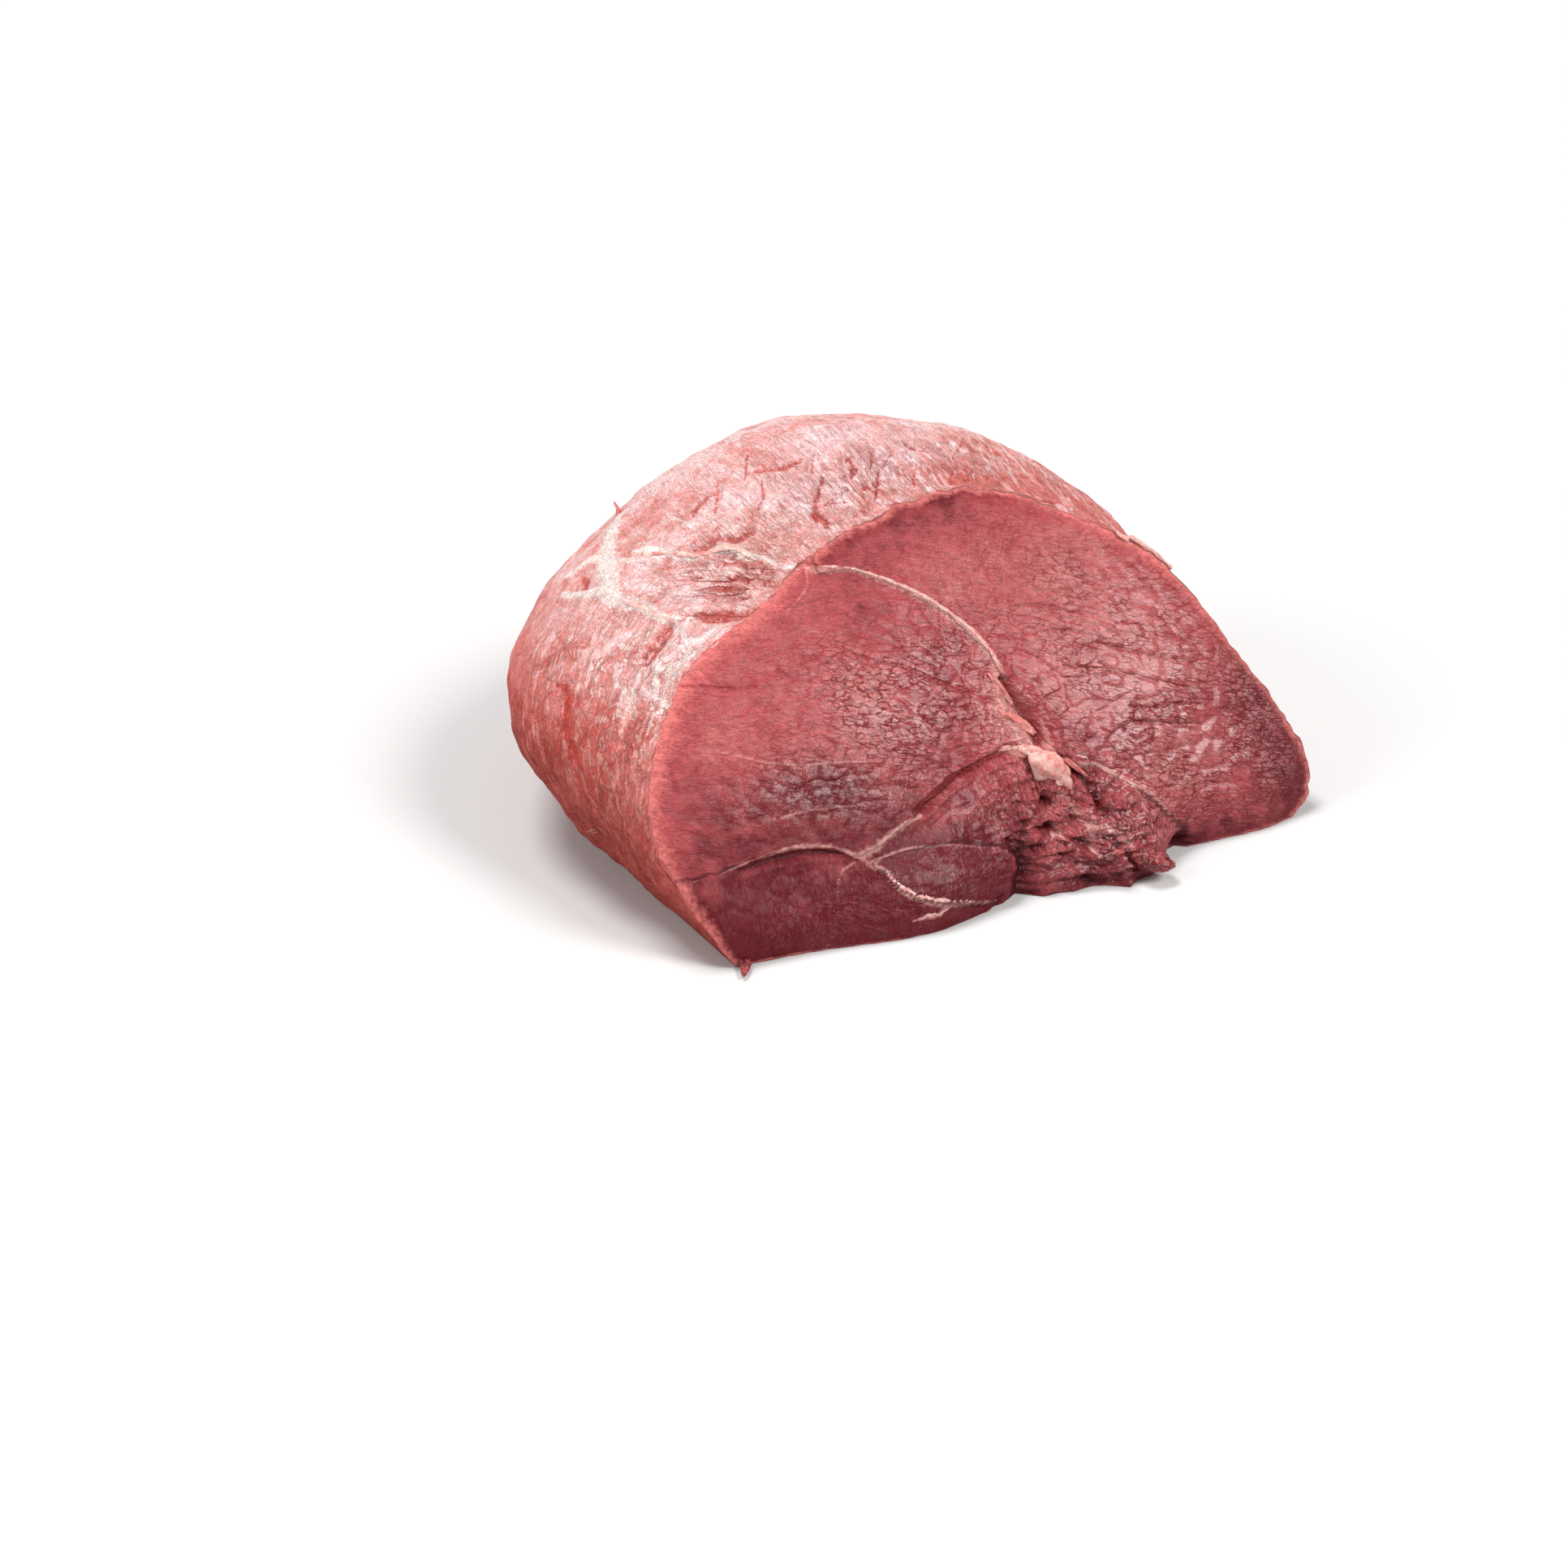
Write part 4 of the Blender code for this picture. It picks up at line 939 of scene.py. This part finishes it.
def addClouds(tree, place, *noises):
    # noises of the given scales, and all of them about nothing, by their shares, added together
    found = [addNoise(tree, place, scale, 3.0) for scale, share in noises]
    parts = [product(tree, less(tree, noise, 0.5), share) for noise, (scale, share) in zip(found, noises)]
    return *found, total(tree, *parts)


def addAttribute(tree, name):
    node = tree.nodes.new("ShaderNodeAttribute")
    node.attribute_name = name
    return node.outputs["Fac"]


def addTurned(tree, vector, degrees):
    node = tree.nodes.new("ShaderNodeMapping")
    node.inputs["Rotation"].default_value = (0.0, 0.0, radians(degrees))
    tree.links.new(vector, node.inputs["Vector"])
    return node.outputs[0]


def addBump(tree, height, distance):
    node = tree.nodes.new("ShaderNodeBump")
    node.inputs["Distance"].default_value = distance
    node.inputs["Strength"].default_value = 1.0
    tree.links.new(height, node.inputs["Height"])
    return node.outputs[0]


def addGroup(tree, group, **values):
    node = tree.nodes.new("ShaderNodeGroup")
    node.node_tree = group
    for label, value in values.items():
        feed(tree, node.inputs[label], value)
    return node.outputs


def fineLinesGroup():
    # thin wandering lines: where a stretched noise crosses its middle value
    tree, given, result = newGroup(
        "fineLines", (("Place", None), ("Stretch", (1, 1, 1)), ("Wander", 0.6), ("Thickness", 0.06)),
        ("Lines", "Grain"))
    given = given.outputs
    scaled = addVector(tree, "MULTIPLY", given["Place"], given["Stretch"])
    noise = addNoise(tree, scaled, 1.0, 2.5, given["Wander"], 0.6)
    off = addMath(tree, "ABSOLUTE", less(tree, noise, 0.5))
    tree.links.new(addRange(tree, off, given["Thickness"], 0.0), result.inputs["Lines"])
    tree.links.new(noise, result.inputs["Grain"])
    return tree


def crackleGroup():
    # scales with cracks between them: the distance to the edge of strayed cells; the cracks come and go
    tree, given, result = newGroup(
        "crackle", (("Place", None), ("Stretch", (1, 1, 1)), ("Wander", 0.5), ("Thickness", 0.08)),
        ("Cracks", "Swell", "Shade"))
    given = given.outputs
    scaled = addVector(tree, "MULTIPLY", given["Place"], given["Stretch"])
    strayed = addNoise(tree, scaled, 0.9, 3.0)
    centred = addVector(tree, "SUBTRACT", strayed.node.outputs["Color"], (0.5, 0.5, 0.5))
    moved = addVector(tree, "ADD", scaled, addVector(tree, "SCALE", centred, given["Wander"]))
    cells, shades = (tree.nodes.new("ShaderNodeTexVoronoi") for _ in range(2))
    for node in (cells, shades):
        node.inputs["Scale"].default_value = 1.0
        tree.links.new(moved, node.inputs["Vector"])
    cells.feature = "DISTANCE_TO_EDGE"
    toEdge = cells.outputs["Distance"]
    gape = addRange(tree, strayed, 0.36, 0.62, 0.15, 1.0)
    width = product(tree, given["Thickness"], lifted(tree, gape, 1.4, 0.3))
    split = tree.nodes.new("ShaderNodeSeparateColor")
    tree.links.new(shades.outputs["Color"], split.inputs[0])
    tree.links.new(product(tree, addRange(tree, toEdge, width, 0.0), gape), result.inputs["Cracks"])
    tree.links.new(addRange(tree, toEdge, 0.0, 0.16), result.inputs["Swell"])
    tree.links.new(split.outputs[0], result.inputs["Shade"])
    return tree


def lineMaskGroup():
    # a crisp line from a gap counted in half widths, with a slightly ragged edge
    tree, given, result = newGroup(
        "lineMask", (("Gap", 6.0), ("Ragged", 0.4), ("Place", None), ("Soft", 0.35)), ("Mask",))
    given = given.outputs
    rag = product(tree, less(tree, addNoise(tree, given["Place"], 700.0, 3.0), 0.5), given["Ragged"], 3.0)
    gap = total(tree, given["Gap"], rag)
    inner, outer = less(tree, 1.0, given["Soft"]), total(tree, 1.0, given["Soft"])
    tree.links.new(addRange(tree, gap, inner, outer, 1.0, 0.0), result.inputs["Mask"])
    return tree


def newMaterial(name, settings):
    material = bpy.data.materials.new(name)
    material.use_nodes = True
    shader = material.node_tree.nodes["Principled BSDF"]
    for label, value in settings.items():
        shader.inputs[label].default_value = value
    return material, material.node_tree, shader.inputs


def objectPlace(tree):
    return tree.nodes.new("ShaderNodeTexCoord").outputs["Object"]


def patternPlace(tree):
    node = tree.nodes.new("ShaderNodeUVMap")
    node.uv_map = "pattern"
    return node.outputs[0]


def paintRim(tree, base, place, cloud, low, high, share):
    # the bright strip along the edge of the cut, its border strayed by two noises
    rag = total(tree, less(tree, cloud, 0.5), less(tree, addNoise(tree, place, 700.0, 3.0), 0.5))
    edge = lifted(tree, rag, 9.0, addAttribute(tree, "rimGap"))
    return paintOver(tree, base, "rimRed", addRange(tree, edge, low, high, share, 0.0))


def paintLines(tree, base, place, lineMask, lines):
    for look, label, share, ragged, soft in lines:
        gap = addAttribute(tree, look + "Gap")
        mask = addGroup(tree, lineMask, Gap=gap, Ragged=ragged, Place=place, Soft=soft)["Mask"]
        base = paintOver(tree, base, label, mask, share)
    return base


def makeCutMaterial(fineLines, crackle, lineMask):
    material, tree, shader = newMaterial("cutMeat", wetMeat)
    place, flow = objectPlace(tree), patternPlace(tree)
    tone, crackling, glint, stroking = (
        addAttribute(tree, name) for name in ("tone", "crackle", "glint", "stroke"))
    mottle, cloud, uneven = addClouds(tree, place, (40.0, 0.9), (170.0, 0.6))
    depth = addMath(tree, "ADD", tone, uneven, clamp=True)
    base = addMix(tree, addRange(tree, depth, 0.0, 0.5), meatColours["darkMeat"], meatColours["midMeat"])
    base = paintOver(tree, base, "lightMeat", addRange(tree, depth, 0.4, 1.0))

    # scales come and go over the muscle, as its own patches
    patch = addRange(tree, addNoise(tree, place, 75.0), 0.36, 0.56, 0.3, 1.0)
    leather = product(tree, addMath(tree, "MINIMUM", crackling, 1.0), patch)
    large = addGroup(tree, crackle, Place=flow, Stretch=(250.0, 560.0, 1.0), Wander=1.3, Thickness=0.10)
    small = addGroup(tree, crackle, Place=flow, Stretch=(820.0, 1300.0, 1.0), Wander=0.9, Thickness=0.14)
    threads = addGroup(tree, fineLines, Place=flow, Stretch=(170.0, 560.0, 1.0), Wander=1.8, Thickness=0.035)
    turned = addTurned(tree, flow, -72)
    stroke = addGroup(tree, crackle, Place=turned, Stretch=(300.0, 1300.0, 1.0), Wander=0.7, Thickness=0.2)
    strokes = addMath(tree, "MINIMUM", stroking, 1.0)
    shade = lifted(tree, large["Shade"], 0.5, product(tree, small["Shade"], 0.5))
    # painted sheen: the tops of the swelling scales are laid over in pale meat, as the wet shine of the lamp
    # on them
    base = paintOver(tree, base, "paleMeatAndSheen", addRange(tree, large["Swell"], 0.1, 0.9), shade, leather, 0.55)
    base = paintOver(tree, base, "paleMeatAndSheen", depth, 0.16)
    # painted highlights: pale chips on the turned strokes, with dark cracks between them
    paintedGlintChips = addRange(tree, stroke["Shade"], 0.5, 0.95)
    base = paintOver(tree, base, "paleMeatAndSheen", paintedGlintChips, stroke["Swell"], strokes, 0.34)
    base = paintOver(tree, base, "crackRed", stroke["Cracks"], strokes, 0.85)
    # painted highlights: pale dashes along the threads, stronger where the glint zones are
    base = paintOver(tree, base, "glint", threads["Lines"], addRange(tree, cloud, 0.42, 0.60),
                     lifted(tree, glint, 0.7, 0.07, clamp=True))
    fine = product(tree, small["Cracks"], lifted(tree, leather, 0.55, 0.05))
    wide = product(tree, large["Cracks"], lifted(tree, leather, 0.85, 0.12, clamp=True))
    base = paintOver(tree, base, "crackRed", fine)
    base = paintOver(tree, base, "crackRed", wide)
    base = paintRim(tree, base, place, cloud, -1.0, 7.5, 0.8)
    base = paintLines(tree, base, place, lineMask, cutPaint)
    tree.links.new(base, shader["Base Color"])

    rough = less(tree, lifted(tree, mottle, 0.16, 0.42), product(tree, glint, 0.16))
    tree.links.new(rough, shader["Roughness"])
    # the wet layer lies on the scales and thins out in the cracks
    dry = less(tree, 1.0, addMath(tree, "MAXIMUM", wide, product(tree, fine, 0.6)))
    tree.links.new(product(tree, lifted(tree, glint, 0.5, 0.03, clamp=True), dry), shader["Coat Weight"])
    swell = lifted(tree, small["Swell"], 0.35, large["Swell"])
    relief = addSum(tree, (swell, lifted(tree, leather, 0.8, 0.1)), (stroke["Swell"], strokes, 0.6),
                    (threads["Lines"], 0.3), (cloud, 1.2))
    tree.links.new(addBump(tree, relief, bumpHeights["cut"]), shader["Normal"])
    return material


def addFibres(tree, fineLines, flow, wallShare, alongBack, alongDown, wander, thickness):
    # fibres run back from the cut on the dome and downwards on the wall
    both = [addGroup(tree, fineLines, Place=flow, Stretch=(*stretch, 1.0), Wander=wander, Thickness=thickness)
            for stretch in (alongBack, alongDown)]
    domeShare = less(tree, 1.0, wallShare)
    return [total(tree, product(tree, both[0][label], domeShare), product(tree, both[1][label], wallShare))
            for label in ("Lines", "Grain")]


def makeSkinMaterial(fineLines, crackle, lineMask):
    settings = {**wetMeat, "Subsurface Weight": 0.12, "Specular IOR Level": 0.2}
    material, tree, shader = newMaterial("outerMembrane", settings)
    place, flow = objectPlace(tree), patternPlace(tree)
    red, silver, wall, glint, creases, folds, farEnd = (
        addAttribute(tree, name) for name in ("red", "silver", "wall", "glint", "crackle", "fold", "farEnd"))
    cloud, uneven = addClouds(tree, place, (38.0, 1.3), (190.0, 1.0))[1:]
    wallShare = addMath(tree, "MINIMUM", wall, 1.0)
    inner = less(tree, 1.0, farEnd)   # the fibres fade out at the far end
    broadLines, broad = addFibres(tree, fineLines, flow, wallShare, (45.0, 230.0), (200.0, 60.0), 1.6, 0.03)
    grain = addFibres(tree, fineLines, flow, wallShare, (150.0, 480.0), (450.0, 170.0), 2.4, 0.04)[1]
    scrawl = addGroup(tree, fineLines, Place=place, Stretch=(300.0,) * 3, Wander=2.2, Thickness=0.035)
    wrinkle = addGroup(tree, crackle, Place=flow, Stretch=(120.0, 300.0, 1.0), Wander=1.8, Thickness=0.07)
    flakes = addGroup(tree, crackle, Place=flow, Stretch=(380.0, 620.0, 1.0), Wander=1.6, Thickness=0.12)
    # long creases between the two seams of fat
    turned = addTurned(tree, flow, -34)
    folded = addGroup(tree, fineLines, Place=turned, Stretch=(22.0, 190.0, 1.0), Wander=0.6, Thickness=0.055)
    blotch = addNoise(tree, place, 75.0, 4.0, 1.2)
    marks = addNoise(tree, place, 130.0, 3.0, 2.0)
    # where the fibres are torn rather than smooth
    busy = product(tree, addRange(tree, blotch, 0.44, 0.60, 0.15, 1.0), inner)
    split = product(tree, wrinkle["Cracks"], lifted(tree, creases, 0.7, 0.15, clamp=True), inner)
    fold = addMath(tree, "MULTIPLY", folded["Lines"], folds, clamp=True)
    base = addMix(tree, addRange(tree, uneven, -0.35, 0.45), meatColours["skinPale"], meatColours["skinPink"])
    for label, value, low, high, *shares in (
            ("skinRed", blotch, 0.53, 0.62, 0.42), ("skinRed", marks, 0.58, 0.64, 0.55),
            ("creamFat", marks, 0.42, 0.36, 0.5), ("silver", blotch, 0.46, 0.36, 0.45),
            ("skinRed", broad, 0.52, 0.58, inner, 0.5), ("skinRed", grain, 0.52, 0.60, busy, 0.4),
            ("creamFat", grain, 0.46, 0.36, busy, 0.4)):
        base = paintOver(tree, base, label, addRange(tree, value, low, high), *shares)
    base = paintOver(tree, base, "creamFat", flakes["Shade"], busy, 0.25)
    base = paintOver(tree, base, "skinRed", flakes["Cracks"], busy, 0.5)
    base = paintOver(tree, base, "silver", addMath(tree, "MULTIPLY", silver, 0.6, clamp=True))
    base = paintOver(tree, base, "creamFat", scrawl["Lines"], addRange(tree, cloud, 0.40, 0.60), 0.8)
    base = paintOver(tree, base, "tear", broadLines, inner, 0.4)
    base = paintOver(tree, base, "tear", split)
    base = paintOver(tree, base, "tear", fold, 0.75)
    # painted highlights: cream specks on the flakes where the glint zones are, mostly on the left wall
    base = paintOver(tree, base, "creamFat", addRange(tree, flakes["Shade"], 0.60, 0.75), flakes["Swell"],
                     addMath(tree, "MULTIPLY", glint, 0.9, clamp=True))
    # redder where the meat shows through, and redder and darker low down, partly as painted shade near the
    # floor
    redAndLowShade = total(tree, lifted(tree, uneven, 0.9, red), product(tree, less(tree, broad, 0.5), inner, 1.6))
    for label, low, high, share in skinWashes:
        base = paintOver(tree, base, label, addRange(tree, redAndLowShade, low, high, 0.0, share), blend="MULTIPLY")
    base = paintRim(tree, base, place, cloud, 0.5, 7.0, 0.75)
    base = paintLines(tree, base, place, lineMask, skinPaint)
    tree.links.new(base, shader["Base Color"])

    rough = less(tree, lifted(tree, cloud, 0.2, 0.34), product(tree, glint, 0.12))
    tree.links.new(total(tree, rough, addRange(tree, redAndLowShade, 0.4, 1.8, 0.0, 0.35)), shader["Roughness"])
    bare = addRange(tree, redAndLowShade, 0.1, 0.9, 1.0, 0.0)
    tree.links.new(product(tree, lifted(tree, glint, 0.55, 0.14, clamp=True), bare), shader["Coat Weight"])
    fibre = addSum(tree, (broad, -1.3), (grain, -0.3))
    relief = addSum(tree, (inner, fibre), (scrawl["Lines"], 0.3), (marks, -1.4), (cloud, 0.6), (split, -1.2),
                    (fold, -2.0), (flakes["Swell"], busy, 0.5), (broadLines, -0.5))
    tree.links.new(addBump(tree, relief, bumpHeights["skin"]), shader["Normal"])
    return material


def makeSoftMaterial(name, tones, softness, fineLines):
    # two tones in clouds with fine pale threads over them
    material, tree, shader = newMaterial(name, {**wetMeat, "Subsurface Weight": softness})
    place = objectPlace(tree)
    cloud = addNoise(tree, place, 280.0, 3.0)
    threads = addGroup(tree, fineLines, Place=place, Stretch=(500.0,) * 3, Wander=1.1, Thickness=0.065)
    base = addMix(tree, addRange(tree, cloud, 0.44, 0.68), meatColours[tones[0]], meatColours[tones[1]])
    base = paintOver(tree, base, tones[2], threads["Lines"], 0.28)
    tree.links.new(base, shader["Base Color"])
    tree.links.new(lifted(tree, cloud, 0.2, 0.3), shader["Roughness"])
    relief = total(tree, cloud, product(tree, threads["Lines"], 0.3))
    tree.links.new(addBump(tree, relief, bumpHeights["soft"]), shader["Normal"])
    return material


cameraView = {
    "target": (70.44, 96.41, 0.0),   # in the chart, mm
    "turn": radians(29.1),           # to the left of the cut's own front
    "height": radians(27.09),
    "distance": 1350.0,
    "focalPixels": 5167.0,
    "imagePixels": 1932.0,
    "sensorWidth": 36.0,
}


def toPart(chartPoint):
    return [(value - middle) * mm for value, middle in zip(chartPoint, chartMiddle)]


def makeCamera():
    view = cameraView
    camera = bpy.data.cameras.new("photo view")
    camera.sensor_width = view["sensorWidth"]
    camera.lens = view["focalPixels"] / view["imagePixels"] * view["sensorWidth"]
    camera.clip_start, camera.clip_end = 0.05, 20.0
    holder = bpy.data.objects.new("photo view", camera)
    target = toPart(view["target"])
    level = cos(view["height"])
    back = (-level * sin(view["turn"]), -level * cos(view["turn"]), sin(view["height"]))
    holder.location = [t + b * view["distance"] * mm for t, b in zip(target, back)]
    holder.rotation_euler = (pi / 2 - view["height"], 0.0, -view["turn"])
    bpy.context.scene.collection.objects.link(holder)
    bpy.context.scene.camera = holder


lighting = {   # where from, to the right, away from the camera and up; how wide in degrees; how strong
    "world": 0.30,
    "key": {"from": (-0.30, 0.25, 0.92), "width": 24, "strength": 2.1},
    "front": {"from": (0.62, -0.26, 0.74), "width": 24, "strength": 2.1},
    "left": {"from": (-0.80, -0.35, 0.48), "width": 30, "strength": 1.2},
}


def makeLights():
    scene = bpy.context.scene
    world = bpy.data.worlds.new("studio")
    world.use_nodes = True
    background = world.node_tree.nodes["Background"]
    background.inputs["Color"].default_value = (1.0, 1.0, 1.0, 1.0)
    background.inputs["Strength"].default_value = lighting["world"]
    scene.world = world
    for name in ("key", "front", "left"):
        settings = lighting[name]
        light = bpy.data.lights.new(name, "SUN")
        light.angle = radians(settings["width"])
        light.energy = settings["strength"]
        lamp = bpy.data.objects.new(name, light)
        c, s = cos(-cameraView["turn"]), sin(-cameraView["turn"])
        x, y, z = settings["from"]
        lamp.location = (x * c - y * s, x * s + y * c, z)
        lamp.rotation_euler = lamp.location.to_track_quat("Z", "Y").to_euler()
        scene.collection.objects.link(lamp)


def makeFloor():
    size = 4.0
    mesh = bpy.data.meshes.new("floor")
    corners = [(-size, -size, 0), (size, -size, 0), (size, size, 0), (-size, size, 0)]
    mesh.from_pydata(corners, [], [(0, 1, 2, 3)])
    floor = bpy.data.objects.new("floor", mesh)
    floor.location.z = -0.0002
    bpy.context.scene.collection.objects.link(floor)
    pale = {"Base Color": (0.68, 0.675, 0.67, 1), "Roughness": 0.7}
    mesh.materials.append(newMaterial("paleFloor", pale)[0])


makeCamera()
makeLights()
makeFloor()
bpy.context.scene.view_settings.view_transform = "Standard"
print("stage: camera, lights and floor")

fineLines, crackle, lineMask = fineLinesGroup(), crackleGroup(), lineMaskGroup()
cutMaterial = makeCutMaterial(fineLines, crackle, lineMask)
skinMaterial = makeSkinMaterial(fineLines, crackle, lineMask)
finishes = {finish: makeSoftMaterial(*look, fineLines) for finish, look in softLooks.items()}
print("materials: cut meat, outer membrane, fat, seams and torn pieces")

joint, surface = makeJoint(cutMaterial, skinMaterial)
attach(joint, "root")
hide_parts("beef_joint")
for name, settings in lumpPieces.items():
    lump = makeLump(name, settings, surface, finishes[settings["finish"]])
    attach(lump, "root")
for name, (on, path) in strandPieces.items():
    finish = "seam" if on == "cut" else "fat"
    strand = makeStrand(name, {**strandShape, "on": on, "path": path}, surface, finishes[finish])
    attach(strand, "root")
print("lumps and strands:", ", ".join([*lumpPieces, *strandPieces]))
